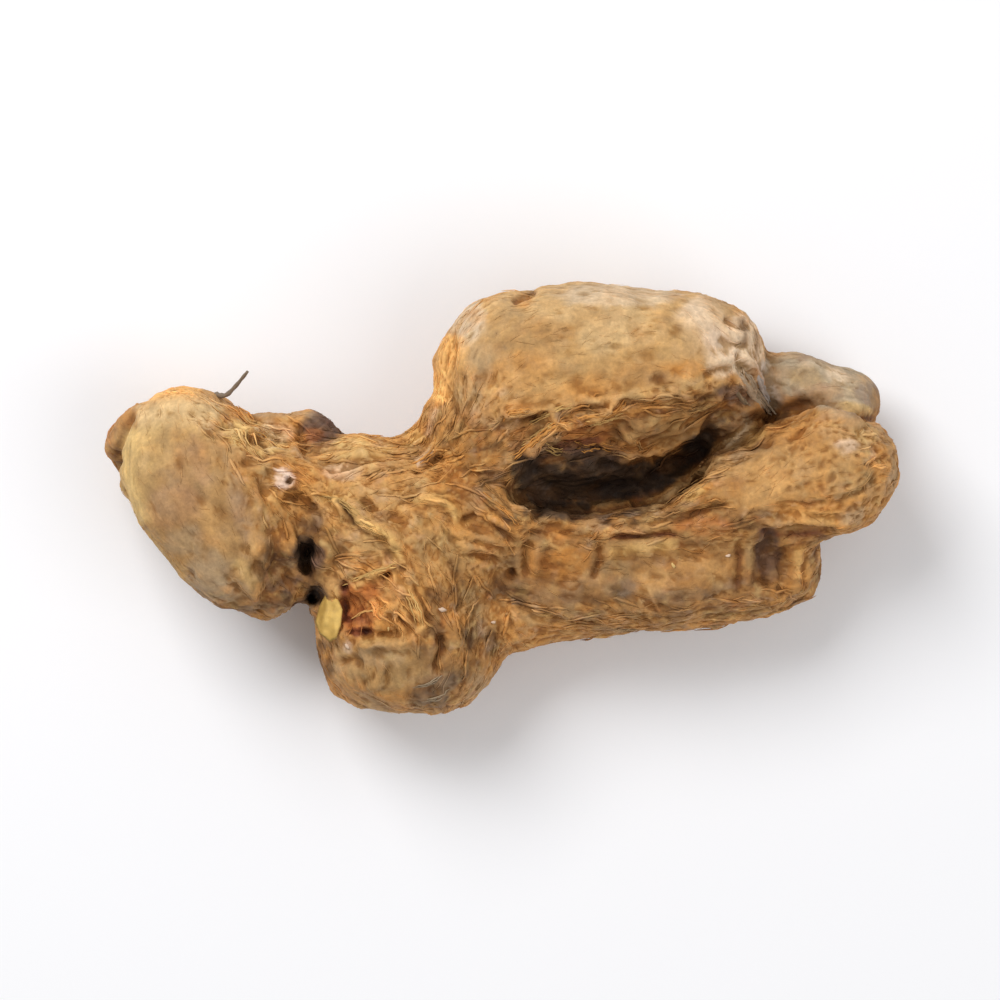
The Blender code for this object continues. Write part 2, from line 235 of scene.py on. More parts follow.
# Each: height (out of the skin, or into it if negative), half width, line
folds = [
    # neck
    (0.75, 0.55, [(-18.5, -0.2), (-17.2, -1.6), (-15.6, -2.7), (-14, -3.3), (-12.7, -4.2), (-12, -5.6),
                  (-12.3, -6.4)]),
    (0.5, 0.4, [(-20, 0.2), (-18.9, -0.9), (-18.3, -2.4)]),
    (-0.9, 0.4, [(-18.5, -0.7), (-17.9, -1.6), (-17.1, -2.7)]),
    (0.45, 0.5, [(-10.8, -0.2), (-8.8, 0.2), (-7, -0.2), (-5.7, -1), (-5.1, -2.4)]),
    (0.6, 0.45, [(-10.3, 4), (-9.2, 4.6), (-8, 5.5), (-7.6, 7.2)]),
    (-0.7, 0.4, [(-10.6, 3.5), (-9.2, 4), (-7.9, 4.6), (-6.9, 5.6)]),
    (0.5, 0.5, [(-20.4, 5.2), (-18, 5), (-16.5, 5.3), (-15.2, 4.5)]),
    (0.7, 0.5, [(-22, -4.2), (-20.8, -4.8), (-20, -6), (-20.2, -7.8)]),
    (0.55, 0.4, [(-16.2, -9.3), (-14.8, -8.5), (-13.8, -8.1), (-12.4, -7.5)]),
    (-0.8, 0.35, [(-14.2, -8.9), (-12.9, -8.8)]),
    (-0.8, 0.4, [(-11.8, -7.8), (-11.2, -8.3)]),
    (0.55, 0.45, [(-12.9, -6.3), (-11.8, -7.5), (-10.9, -8.9), (-10.1, -10.7), (-9.2, -12.7), (-8.3, -14)]),
    (-0.6, 0.35, [(-10.7, -9.4), (-9.7, -11.4), (-8.7, -13.6), (-8.1, -15.2)]),
    (-0.6, 0.35, [(-4.7, -2.4), (-3.6, -1.9), (-2.4, -1.6)]),
    (-0.6, 0.35, [(-4, -6.1), (-2.8, -6.5), (-1.4, -7.1), (0.2, -7.8)]),
    (-0.9, 0.35, [(1.35, -8.3), (1.4, -9.5)]),
    (0.45, 0.4, [(-6.2, -3.6), (-3.6, -4.2), (-1, -4.6), (1.6, -5.6)]),
    (0.4, 0.35, [(-6, -5.2), (-3.4, -5.6), (-1, -6.2), (1.2, -7)]),
    (0.5, 0.35, [(-1.6, -1.8), (0.6, -3), (2.6, -4.4)]),
    (-0.5, 0.3, [(-1.4, -2.6), (0.4, -3.8), (2, -5)]),
    (-0.6, 0.6, [(-16.6, 0.6), (-15.4, -0.6), (-14.6, -1.8)]),
    (-0.5, 0.7, [(-13.4, -1.6), (-12.2, -2.2), (-10.8, -3.2)]),
    # lower lobe
    (0.5, 0.4, [(-14.6, -13.7), (-13.2, -13), (-12.1, -12.2)]),
    (0.5, 0.35, [(-12.8, -13.7), (-10.9, -15.7)]),
    (-0.7, 0.3, [(-12.2, -13.5), (-10.2, -15.9)]),
    (0.5, 0.35, [(-11.7, -13.1), (-9.6, -15.4), (-8.9, -16.3)]),
    (-0.5, 0.3, [(-11.1, -13), (-9.3, -15)]),
    (0.4, 0.35, [(-10.5, -12.8), (-8.6, -15.3)]),
    (0.6, 0.5, [(-17.2, -17.2), (-14, -16.9), (-11.5, -16.9), (-10, -16.4)]),
    (-0.6, 0.5, [(-17, -16.2), (-13.8, -16), (-11.6, -16.1)]),
    (0.4, 0.4, [(-16.3, -22.6), (-14.2, -21.5), (-13.8, -19.3), (-15, -18.6)]),
    (-0.7, 0.5, [(-7.2, -15.2), (-6.9, -17.8), (-7.6, -19.6), (-7.2, -21.6)]),
    (0.4, 0.8, [(-5.6, -13), (-5.6, -15.6), (-5.2, -18)]),
    (-0.5, 0.5, [(-19.6, -19.4), (-17.4, -19), (-16, -20)]),
    # mouth and rim
    (0.8, 0.45, [(2, 5.2), (3.6, 6.2), (5, 7.4), (6.4, 8.4), (7.8, 8.8), (9.4, 8.8)]),
    (0.6, 0.4, [(0.5, 9.1), (1, 10.1), (2.6, 10.5), (4.8, 10.4)]),
    (-0.6, 0.7, [(1.8, 8.8), (3.4, 9.4), (4.8, 9.2)]),
    (0.6, 0.4, [(8.3, 9.6), (10, 10), (12.4, 10), (13.9, 10.8), (14.7, 12)]),
    (-0.5, 0.3, [(8.8, 10.6), (10.8, 10.8), (12.6, 10.9), (13.4, 11.6)]),
    (0.4, 0.35, [(9.2, 12.4), (10.6, 11.6), (12.2, 11.8)]),
    (0.4, 0.35, [(13.8, 7.8), (15.2, 7.3), (16.6, 6.6)]),
    (-0.3, 0.6, [(17.6, 14.4), (18.6, 14.2), (19.5, 14.6)]),
    (-0.7, 0.5, [(22.6, 12.2), (24.4, 11.9), (26, 12.4)]),
    # lips of the mouth and the arm
    (0.7, 0.6, [(10.2, -1.5), (12, -1.1), (14, -0.8), (16.4, -0.9)]),
    (0.5, 0.4, [(4.6, -1.4), (6.4, -2.4), (8.6, -2.6)]),
    (-0.6, 0.35, [(3.6, -1.6), (5.4, -2.9), (8, -3.2)]),
    (1.2, 0.65, [(19.0, 0.0), (20.3, 0.7), (21.6, 1.7), (23.0, 2.8), (24.6, 3.6), (26.1, 4.5), (27.4, 6.0),
                 (28.8, 7)]),
    (0.3, 0.45, [(12, -2.5), (15, -2.2), (18, -1.3), (20, 0)]),
    (0.6, 0.4, [(14, -3.2), (17, -2.5), (19.5, -1.9), (22, -0.8), (24.5, 0.2), (27, 1.2)]),
    (-0.6, 0.5, [(20, -2.8), (22.6, -1.9), (25.2, -1), (27.6, -0.6)]),
    (-0.8, 0.28, [(12.6, -4.6), (14, -4.3), (16, -4.4), (18, -4.1), (19.8, -4.0), (21.4, -4.5)]),
    (-0.6, 0.4, [(2.4, -4), (6, -3.8), (9, -3.9), (12.6, -4.5)]),
    (-1.5, 0.5, [(30.4, -3.6), (32.4, -4.4), (35, -3.8), (37.6, -3.7), (40.6, -3.4)]),
    (0.5, 0.5, [(30, -2.4), (33, -2.7), (36, -2.3), (40, -2.8), (43.6, -2.6)]),
    (-1.1, 0.5, [(33.4, 10.2), (34.6, 11.0), (36.2, 11.9), (38.6, 11.9), (41.6, 10.9), (43.8, 10.2),
                 (46.2, 9.2)]),
    (0.5, 0.6, [(36.6, 10.6), (38.8, 10.6), (41.4, 9.6), (43.6, 8.8)]),
    (-0.5, 0.35, [(33.6, 7.2), (35, 7.6), (36.2, 8.8)]),
    (0.5, 0.4, [(27.4, 6.4), (29, 8.2), (31, 8.9), (33, 8.4)]),
    (0.7, 0.7, [(29.4, 11.8), (30.8, 10.8), (32.2, 9.7)]),
    (-0.5, 0.4, [(28.8, 5.8), (30.6, 6.8), (32.6, 6.8)]),
    # flank under the arm
    (-0.6, 0.4, [(3.4, -4.5), (2.9, -7), (2.8, -9.6)]),
    (0.4, 0.5, [(4.6, -4.8), (4.2, -7), (4.4, -9.4)]),
    (-0.7, 0.4, [(11.6, -5), (12, -7), (11, -9.6)]),
    (-0.4, 0.4, [(28.3, -4.6), (28.6, -7), (28.2, -11)]),
    (0.3, 0.5, [(29.6, -5), (29.8, -8), (29.4, -11)]),
    (-0.8, 1.3, [(31.8, -4.4), (32.2, -7), (32, -11)]),
    (0.5, 1.1, [(35.8, -5.4), (36, -8), (35.6, -12)]),
    (-0.5, 0.5, [(34, -5.2), (34.1, -8), (33.8, -12)]),
    (-0.4, 0.4, [(36.4, -5.6), (36.3, -8), (36.1, -11)]),
    # bulb
    (-0.6, 0.4, [(4.6, 25.2), (3.2, 24.4), (2.0, 23.8), (1.2, 23.2)]),
    (-0.5, 0.5, [(-5.4, 20.4), (-6.1, 16.4), (-6.0, 12.4), (-5.2, 9.6)]),
    (0.4, 0.6, [(24.4, 15.6), (26.2, 16.6), (28.6, 16.8)]),
    (-0.5, 0.4, [(23.6, 14.4), (25.6, 15.4), (28.2, 15.6)]),
    (-0.4, 0.4, [(25.6, 19.4), (27.4, 18.4), (29.8, 18.2)]),
    (-0.5, 0.5, [(27.6, 17.6), (28.8, 15.8), (29.6, 13.8)]),
    (0.5, 0.4, [(28.8, 18), (30, 15.8), (31.4, 13), (32.6, 11)]),
    (-0.6, 0.5, [(26.4, 22), (28.4, 20.8), (30.4, 20.8)]),
    # paddle, bud and stub
    (-0.45, 1.1, [(-26.6, -2.4), (-26.2, -5), (-25.6, -8.4), (-24.0, -11)]),
    (-0.35, 0.7, [(-28.8, -12.6), (-27.0, -10.4), (-25.0, -9.6), (-23.6, -9.4)]),
    (0.6, 0.5, [(-25.2, -2.2), (-24.8, -4.4), (-25.2, -7.2)]),
    (-0.12, 0.7, [(-38.2, 8.4), (-38, 4.5), (-36.6, 2), (-35.4, 0), (-35.6, -2.4)]),
    (-0.45, 0.5, [(-30.6, 5.6), (-29.2, 3.4), (-28.1, 1), (-27.6, -0.6)]),
    (0.4, 0.5, [(-31.8, 6.4), (-29.8, 4.4), (-28.8, 2), (-28.4, -0.4), (-29.2, -3)]),
    (-1.1, 0.5, [(-43.4, 10.9), (-44.6, 9.2), (-45.4, 7), (-46.3, 5.2), (-47.2, 4.2)]),
    (-1.6, 0.9, [(-45.6, 6), (-46.6, 4.4), (-47.2, 2.8), (-46.4, 1)]),
    (0.25, 0.8, [(-42, 11.4), (-39, 12.0), (-35.6, 11.4)]),
    (-0.8, 0.5, [(-24.2, 9.6), (-23.8, 7.6), (-22.6, 6.2), (-20.4, 6)]),
    (-0.6, 0.35, [(-27.4, 7.4), (-26, 6.8), (-24.6, 7.2)]),
    (-0.6, 0.35, [(-30, 7.2), (-28.6, 6.8), (-27.4, 6)]),
    (0.5, 0.35, [(-33.4, 7.6), (-31.4, 7.8), (-29.4, 8), (-26.6, 8.2)]),
    (0.5, 0.35, [(-30, 4), (-28, 3.6), (-27, 4.6), (-25, 5.2)]),
    (-0.8, 0.6, [(-26, 0.2), (-23.6, 0), (-22.2, -0.8), (-22.6, -2)]),
    (-0.4, 0.7, [(-29.8, -7.6), (-27.4, -8.6), (-25.6, -8.4)]),
    (-0.45, 0.5, [(-33.4, -13.6), (-30, -13.5), (-27, -13)]),
    (-0.35, 0.35, [(-31.6, -9.8), (-31, -11.3)]),
    (0.5, 0.5, [(-31.2, -8), (-30.2, -9.2), (-29.2, -10.8), (-28.6, -12.4)]),
]

# Each: depth, half size across and along, turn in degrees, middle
pits = [
    (0.8, (0.45, 0.6), -20, (-24.9, 2.2)),
    (0.8, (1.5, 0.35), 8, (-17.6, -14.1)),
    (0.7, (1.0, 0.3), -30, (-14.2, -12.0)),
    (4.0, (1.5, 1.3), 0, (-23.0, -5.9)),
    (3.0, (1.1, 1.5), 0, (-22.8, -7.6)),
    (3.4, (1.3, 1.1), 15, (-21.9, -11.3)),
    (1.8, (1.4, 1.0), 10, (-23.4, -12.2)),
    (1.1, (1.5, 0.4), 4, (-16.4, -15.6)),
    (0.8, (0.4, 1.4), 10, (-18.4, -12.8)),
    (0.7, (0.5, 0.9), -20, (-18.4, -10.2)),
    (1.0, (2.4, 2.2), 0, (-17.2, -13.4)),
    (1.0, (3.4, 3.0), 20, (-25.8, -9.4)),
]

# The parts of the mouth: the ledge of the bulb's rim, below it the edge where the dark starts, and the
# floor. The skin steps down by the drop on the lower side of a line, and comes back beyond the reach
mouth = {
    "ledge": [(-2, 8), (1, 9.6), (4.6, 9.9), (7, 9), (9.5, 8.7), (12.5, 9.4), (14.6, 11.6), (19, 11.8),
              (22.8, 11.6), (25, 11.4), (27.5, 12.6), (30, 12.4)],
    "ledgeDrop": 1.1,
    "ledgeReach": 4.0,
    "edge": [(1.4, 4.9), (3.4, 5.5), (5.5, 6.1), (8, 6.1), (11.5, 5.9), (14, 5.6), (16.5, 4.9), (19, 4.9),
             (21.5, 5.9), (24, 7.7), (27, 10)],
    "edgeDrop": 1.2,
    "edgeReach": 3.0,
    "floorLine": [(2.4, 1.6), (6, 1.6), (10, 1.9), (15, 2.0), (20, 3.4), (24, 5.6), (28, 8.6)],
    "floorDrop": 0.8,
    "floorHalf": 1.9,
}


# On steep skin the marks drift aside, the lower they lie the more. They keep their place in two
# ovals seen from above, the mouth and the holes beside the chip: middle, half size, turn
drift = {
    "steepFrom": 0.55,   # upward part of the skin's direction where the drift starts
    "steepest": 0.15,    # and where it is full
    "share": 0.3,        # of the height that is missing to the one below
    "below": 13,
    "size": 6,
    "seed": 61,
    "steadyPlaces": [
        ((14.0, 3.6), (14.5, 5.6), 12),
        ((-23.4, -8.4), (4.6, 6.4), 0),
    ],
}


def drifted(skin):
    # The places used for marks, so that no mark runs straight down a side
    steep = 1 - smoothStep(drift["steepest"], drift["steepFrom"], skin.out[:, 2])
    for middle, half, turn in drift["steadyPlaces"]:
        steep *= smoothStep(1.0, 1.4, insideOval(skin.places, middle, half, turn))
    reach = drift["share"] * np.maximum(drift["below"] - skin.places[:, 2], 0) * steep
    moved = np.zeros_like(skin.places)
    for axis in (0, 1):
        moved[:, axis] = reach * lumps(skin.places, drift["size"], drift["seed"] + axis, 2)
    return skin.places + moved


def taper(along, ends=0.22):
    return smoothStep(0, ends, along) * smoothStep(0, ends, 1 - along)


# Swells: height, size, seed and octaves of their noise. Waver and ragged bend the edges of the marks
largeForms = {
    "swell": (0.35, 9, 1, 3),
    "bulge": (0.18, 3.4, 2, 2),
    "waver": (0.35, 2.2, 11, 2),
    "ragged": (0.55, 1.7, 13, 3),
    "foldGain": 1.7,     # every fold is this many times as high as it is listed
    "foldWiden": 1.15,   # and as wide
    "pitRim": 0.25,
    "mouthRim": 0.45,
    "floorLeft": 3,      # no pit reaches lower above the floor
}


def swell(skin, name):
    height, size, seed, octaves = largeForms[name]
    return lumps(skin.places, size, seed, octaves) * height


def sculptLargeForms(skin):
    upper = smoothStep(-0.35, 0.15, skin.out[:, 2])
    waver = swell(skin, "waver")
    places = drifted(skin)
    rise = swell(skin, "swell") + swell(skin, "bulge")
    for height, half, line in folds:
        half = largeForms["foldWiden"] * half
        gap, along, _, _ = toLine(places, line, 4 * half)
        shape = np.exp(-(np.abs(gap + waver * 0.5 * half) / half) ** 2)
        rise += largeForms["foldGain"] * height * shape * taper(along) * upper * (1 + 0.5 * waver)
    sink = np.zeros(skin.count)
    for depth, half, turn, middle in pits:
        reach = insideOval(skin.places, middle, half, turn) + waver * 1.1
        sink += depth * (1 - smoothStep(0.3, 1.2, reach)) * upper
        rise += largeForms["pitRim"] * np.exp(-((reach - 1.45) / 0.35) ** 2) * upper
    ragged = swell(skin, "ragged")
    for name in ("ledge", "edge"):
        gap, along, _, side = toLine(skin.places, mouth[name])
        over = gap * side + waver * 1.2 + ragged
        reach = mouth[name + "Reach"]
        ends = taper(along, 0.1)
        rise -= (mouth[name + "Drop"] * (1 - smoothStep(-0.25, 0.25, over))
                 * smoothStep(-reach, -reach * 0.5, over) * ends)
        rise += largeForms["mouthRim"] * np.exp(-((over - 0.55) / 0.45) ** 2) * ends * upper
    gap, along, _, _ = toLine(skin.places, mouth["floorLine"])
    rise -= mouth["floorDrop"] * np.exp(-(gap / mouth["floorHalf"]) ** 2) * taper(along, 0.15) * upper
    skin.push(rise)
    skin.places[:, 2] -= np.minimum(sink, np.maximum(skin.places[:, 2] - largeForms["floorLeft"], 0))
    skin.restOnFloor()


# The run of the fibres: lines along which they lie, seen from above

fibreLines = [
    # bulb
    [(-6.5, 11), (-4, 18), (1, 22.5), (12, 24.5), (22, 23), (29, 18)],
    [(-4, 9), (2, 14.5), (12, 18), (22, 17.8), (30, 14)],
    [(1, 7), (9, 10.5), (18, 12.8), (29, 12.8)],
    [(2, 5), (5, 7.2), (8, 8.8), (12, 9.6), (18, 9), (24, 10)],
    # neck, and on along the arm
    [(-27, 6), (-20, 2.5), (-12, 3.5), (-5, 3.6), (1, -2), (10, -3.6), (22, -1.2), (31, 3), (42, 9)],
    [(-26, 2), (-20, -1), (-15, -2.8), (-12, -5), (-10, -10), (-8, -15), (-7, -21)],
    [(-21, -4), (-18, -8), (-15, -9), (-12, -12), (-9, -16)],
    [(-19, -11), (-17, -15), (-15, -20), (-14, -24)],
    [(-12, -1), (-7, -0.5), (-4, -4), (2, -6), (15, -7.5), (28, -9), (39, -8)],
    [(-9, -4), (-7, -8), (-4, -12), (-3, -18)],
    [(-18, 6), (-11, 7), (-7, 9.5), (-6.5, 15)],
    [(24, -3.5), (32, -1), (40, 1), (46, 3)],
    [(8, -10), (16, -12), (30, -12)],
    # paddle and stub
    [(-43, 8), (-38.5, -2), (-31, -13)],
    [(-38, 13), (-33, 3), (-27, -10)],
    [(-34, 9), (-30, 6.5), (-26, 4), (-22, 4.5)],
    [(-30, 10), (-25, 8.5), (-20, 8)],
    # side knob, and the crevice before it
    [(31, 13), (38, 13.5), (46, 12)],
    [(25.4, 18.4), (28.6, 15.2), (33.4, 10.4)],
]


# How the strands lie, and where the skin is smooth instead of matted. Smooth places: strength,
# middle, half size, turn in degrees
weave = {
    "sway": 0.4,
    "swaySize": 7.0,
    "tangle": 0.5,
    "tangleSize": 3.0,
    "crossing": 0.9,
    "stride": 0.24,
    "reach": 3.6,
    "crossReach": 2.2,
    "cellPlace": ((41.0, 4.0), (8.5, 7.5), 0),
    "cellHeight": 0.32,
    "cellSize": 1.7,
    "edgeWander": 0.22,
    "underside": 0.45,
    "smoothPlaces": [
        (0.92, (12, 18.8), (19, 8.6), 4),
        (0.95, (-37.4, 0.8), (7.2, 14.6), 29),
        (0.66, (39, 13.5), (8.5, 5), -14),
        (0.76, (34, 3.6), (10, 4.4), 22),
        (0.65, (-13, -20.4), (8.4, 4.6), 0),
        (0.62, (17, -8.4), (19, 4.2), 0),
        (0.50, (17, 7.6), (8, 2.4), 12),
    ],
}


def findMatted(skin):
    # 1 where the skin is a tangle of loose strands, near 0 where it is smooth
    calm = np.zeros(skin.count)
    edge = lumps(skin.places, 3.0, 23, 3) * weave["edgeWander"]
    for strength, middle, half, turn in weave["smoothPlaces"]:
        reach = insideOval(skin.places, middle, half, turn) + edge
        calm = np.maximum(calm, strength * (1 - smoothStep(0.72, 1.08, reach)))
    below = 1 - smoothStep(-0.7, 0.0, skin.out[:, 2])
    return (1 - calm) * (1 - weave["underside"] * below)


def fibreRun(skin, matted, crossing=0.0):
    # The direction of the fibres at each point, lying in the skin
    pull = np.zeros((skin.count, 3))
    for line in fibreLines:
        gap, _, heading, _ = toLine(skin.places, line)
        pull[:, :2] += heading * (np.exp(-(gap / 3.2) ** 2) + np.exp(-gap / 10) * 0.02)[:, None]
    run = unit(pull)
    run = unit(run - skin.out * (run * skin.out).sum(1)[:, None])
    side = np.cross(skin.out, run)
    swing = lumps(skin.places, weave["swaySize"], 3, 2) * weave["sway"]
    swing += lumps(skin.places, weave["tangleSize"], 4, 2) * weave["tangle"] * (0.25 + 0.75 * matted)
    if crossing:
        swing += crossing * np.sign(lumps(skin.places, 4.0, 8, 1))
    run = run * np.cos(swing)[:, None] + side * np.sin(swing)[:, None]
    run = skin.spread(run, 2)
    return unit(run - skin.out * (run * skin.out).sum(1)[:, None])


def walkFibres(skin, run, reach, stride):
    # For each point, the points met when walking along the fibres both ways, near ones first
    steps = int(round(reach / stride))
    trail = np.empty((skin.count, 2 * steps + 1), np.int32)
    trail[:, 0] = np.arange(skin.count)
    places = skin.places.astype(np.float32)
    out = skin.out.astype(np.float32)
    run = run.astype(np.float32)
    for way in (0, 1):
        here = np.arange(skin.count)
        spot = places.copy()
        heading = run if way == 0 else -run
        for step in range(steps):
            spot = spot + heading * np.float32(stride)
            around = skin.ring[here]
            gaps = ((places[around] - spot[:, None, :]) ** 2).sum(2)
            here = around[np.arange(skin.count), gaps.argmin(1)]
            spot -= out[here] * ((spot - places[here]) * out[here]).sum(1)[:, None]
            ahead = run[here]
            heading = np.where((ahead * heading).sum(1)[:, None] < 0, -ahead, ahead)
            trail[:, 1 + 2 * step + way] = here
    return trail


def makeStrands(skin, trail, seed, width, length=1.0):
    # Random grain drawn out along the fibres: long ridges with hollows between, about -2 to 2
    grain = np.random.default_rng(seed).standard_normal(skin.count).astype(np.float32)
    if width:
        grain = skin.spread(grain, width)
    many = max(3, int(trail.shape[1] * length))
    drawn = grain[trail[:, :many]].mean(axis=1)
    drawn = skin.spread(drawn, 1)
    drawn = drawn - skin.spread(drawn, 10 + 6 * width)
    return (drawn / drawn.std()).astype(float)


# How far each pattern stands out of smooth skin, and how much further out of matted skin
relief = {
    "bands": (0.03, 0.07),
    "crumple": (0.05, 0.14),
    "lifted": (0.008, 0.050),
    "peeled": (0.03, 0.11),
    "hairs": (0.006, 0.010),
}


def sculptSkin(skin):
    matted = findMatted(skin)
    height = {name: smooth + more * matted for name, (smooth, more) in relief.items()}
    run = fibreRun(skin, matted)
    trail = walkFibres(skin, run, weave["reach"], weave["stride"])
    crossRun = fibreRun(skin, matted, weave["crossing"])
    crossTrail = walkFibres(skin, crossRun, weave["crossReach"], weave["stride"])
    hairs = makeStrands(skin, trail, 5, 0, 0.55)
    cords = makeStrands(skin, trail, 6, 4, 0.8)
    bands = makeStrands(skin, trail, 7, 22)
    loose = makeStrands(skin, crossTrail, 8, 3)
    looseHairs = makeStrands(skin, crossTrail, 9, 0, 0.7)
    crumple = 0.5 - np.abs(lumps(skin.places, 3.4, 22, 2))
    peeled = smoothStep(0.3, 0.5, bands * 0.45 + lumps(skin.places, 4, 21, 2))
    cells = 0.5 - np.abs(lumps(skin.places, weave["cellSize"], 24, 2))
    cells *= 1 - smoothStep(0.7, 1.1, insideOval(skin.places, *weave["cellPlace"]))
    skin.push(bands * height["bands"] + crumple * height["crumple"] + cells * weave["cellHeight"])
    lifted = np.maximum(cords, loose - 0.4)
    skin.push(lifted * height["lifted"] - peeled * height["peeled"])
    skin.push(np.maximum(hairs, looseHairs * matted) * height["hairs"])
    skin.restOnFloor()
    streak = hairs + 0.7 * lifted + 0.5 * looseHairs * matted
    return run, {"fibrous": matted, "peeled": peeled * matted, "streak": streak}


# Where loose strands gather: strength, half width, line
strandPlaces = [
    (1.0, 1.3, [(2, 5.2), (5, 7.4), (9.4, 8.8), (14.7, 11.4), (22, 11.6)]),
    (0.9, 0.9, [(1.4, 4.9), (5.5, 6.1), (11.5, 5.9), (16.5, 4.9), (21.5, 5.9)]),
    (0.5, 0.9, [(28.4, 15.2), (31.4, 12.0)]),
    (0.7, 0.9, [(19.4, -0.2), (23, 2.7), (27.4, 5.6)]),
    (0.8, 2.2, [(-33, 9), (-28, 6), (-24, 3)]),
    (0.7, 2.4, [(-18, 4.6), (-10, 4.4), (-7, 8)]),
    (0.8, 2.2, [(-22, -4), (-18, -9), (-12, -12)]),
    (0.6, 2.0, [(-9, -8), (-7, -14), (-7, -20)]),
    (0.5, 2.5, [(-3, 4), (1, -1), (4, -7)]),
    (0.6, 0.9, [(10, -4.2), (22, -4.4)]),
]


# No strands here: the holes beside the chip and the inside of the mouth, which strands would span,
# and the bare side knob
baldPlaces = [
    ((-24.0, -11.4), (4.6, 4.2), 0),
    ((-23.2, -6.4), (4.0, 4.6), 0),
    ((13.0, 2.2), (12.5, 3.2), 6),
    ((26.0, 7.4), (3.6, 3.0), 45),
    ((36.5, 13.0), (8.0, 4.4), -15),
]


def findFibrePlaces(skin, looks):
    matted = looks["fibrous"]
    above = smoothStep(-0.9, 0.1, skin.out[:, 2])
    upward = smoothStep(0.0, 0.5, skin.out[:, 2])
    gathered = np.zeros(skin.count)
    for strength, half, line in strandPlaces:
        gap, along, _, _ = toLine(skin.places, line, 4 * half)
        gathered = np.maximum(gathered, strength * np.exp(-(gap / half) ** 2) * taper(along, 0.06))
    patches = smoothStep(-0.35, 0.5, lumps(skin.places, 5, 41, 2))
    for middle, half, turn in baldPlaces:
        clear = smoothStep(0.8, 1.2, insideOval(skin.places, middle, half, turn))
        patches *= clear
        gathered *= clear
    looks["fuzzy"] = matted ** 1.6 * (0.2 + 0.8 * patches) * (0.35 + 0.65 * above)
    looks["stringy"] = np.clip(gathered + 0.5 * np.maximum(matted - 0.4, 0) * patches, 0, 1) * upward
    looks["downy"] = (1.05 - matted) * (0.5 + 0.5 * patches) * (0.5 + 0.5 * above)


# The colours of the skin, as light that the bare skin gives back (linear red, green, blue). The black is
# painted shadow only, and several others also serve as painted shade and painted highlight where noted below

colours = {
    "tan": (0.355, 0.197, 0.073),
    "golden": (0.52, 0.285, 0.100),
    "bulbGold": (0.515, 0.300, 0.113),
    "cream": (0.76, 0.57, 0.385),
    "pale": (0.66, 0.45, 0.22),
    "paleYellow": (0.66, 0.44, 0.17),
    "pinkPale": (0.66, 0.48, 0.345),
    "budWhite": (0.74, 0.56, 0.45),
    "orange": (0.60, 0.27, 0.065),
    "brightOrange": (0.88, 0.47, 0.15),
    "neckBrown": (0.45, 0.215, 0.062),
    "neckGold": (0.54, 0.27, 0.075),
    "armBrown": (0.42, 0.21, 0.066),
    "flankBrown": (0.265, 0.126, 0.040),
    "warmBrown": (0.34, 0.135, 0.026),
    "redOrange": (0.42, 0.13, 0.024),
    "darkRed": (0.16, 0.035, 0.012),
    "brown": (0.17, 0.075, 0.022),
    "darkBrown": (0.075, 0.034, 0.013),
    # painted shadow: this black stands in for the shade deep in the mouth, under its lower lip and in the
    # holes beside the chip
    "black": (0.050, 0.029, 0.018),
    "purple": (0.11, 0.062, 0.046),
    "olive": (0.33, 0.205, 0.085),
    "paleGrey": (0.64, 0.49, 0.33),
    "greyPurple": (0.24, 0.165, 0.13),
    "ashGrey": (0.58, 0.51, 0.45),
    "rosy": (0.38, 0.195, 0.095),
    "paleGold": (0.66, 0.40, 0.135),
    "greyTan": (0.37, 0.27, 0.165),
    "knobGrey": (0.42, 0.33, 0.22),
    "grey": (0.20, 0.15, 0.105),
    "dust": (0.40, 0.29, 0.18),
    "flesh": (0.71, 0.46, 0.130),
    "fleshDark": (0.40, 0.235, 0.05),
}

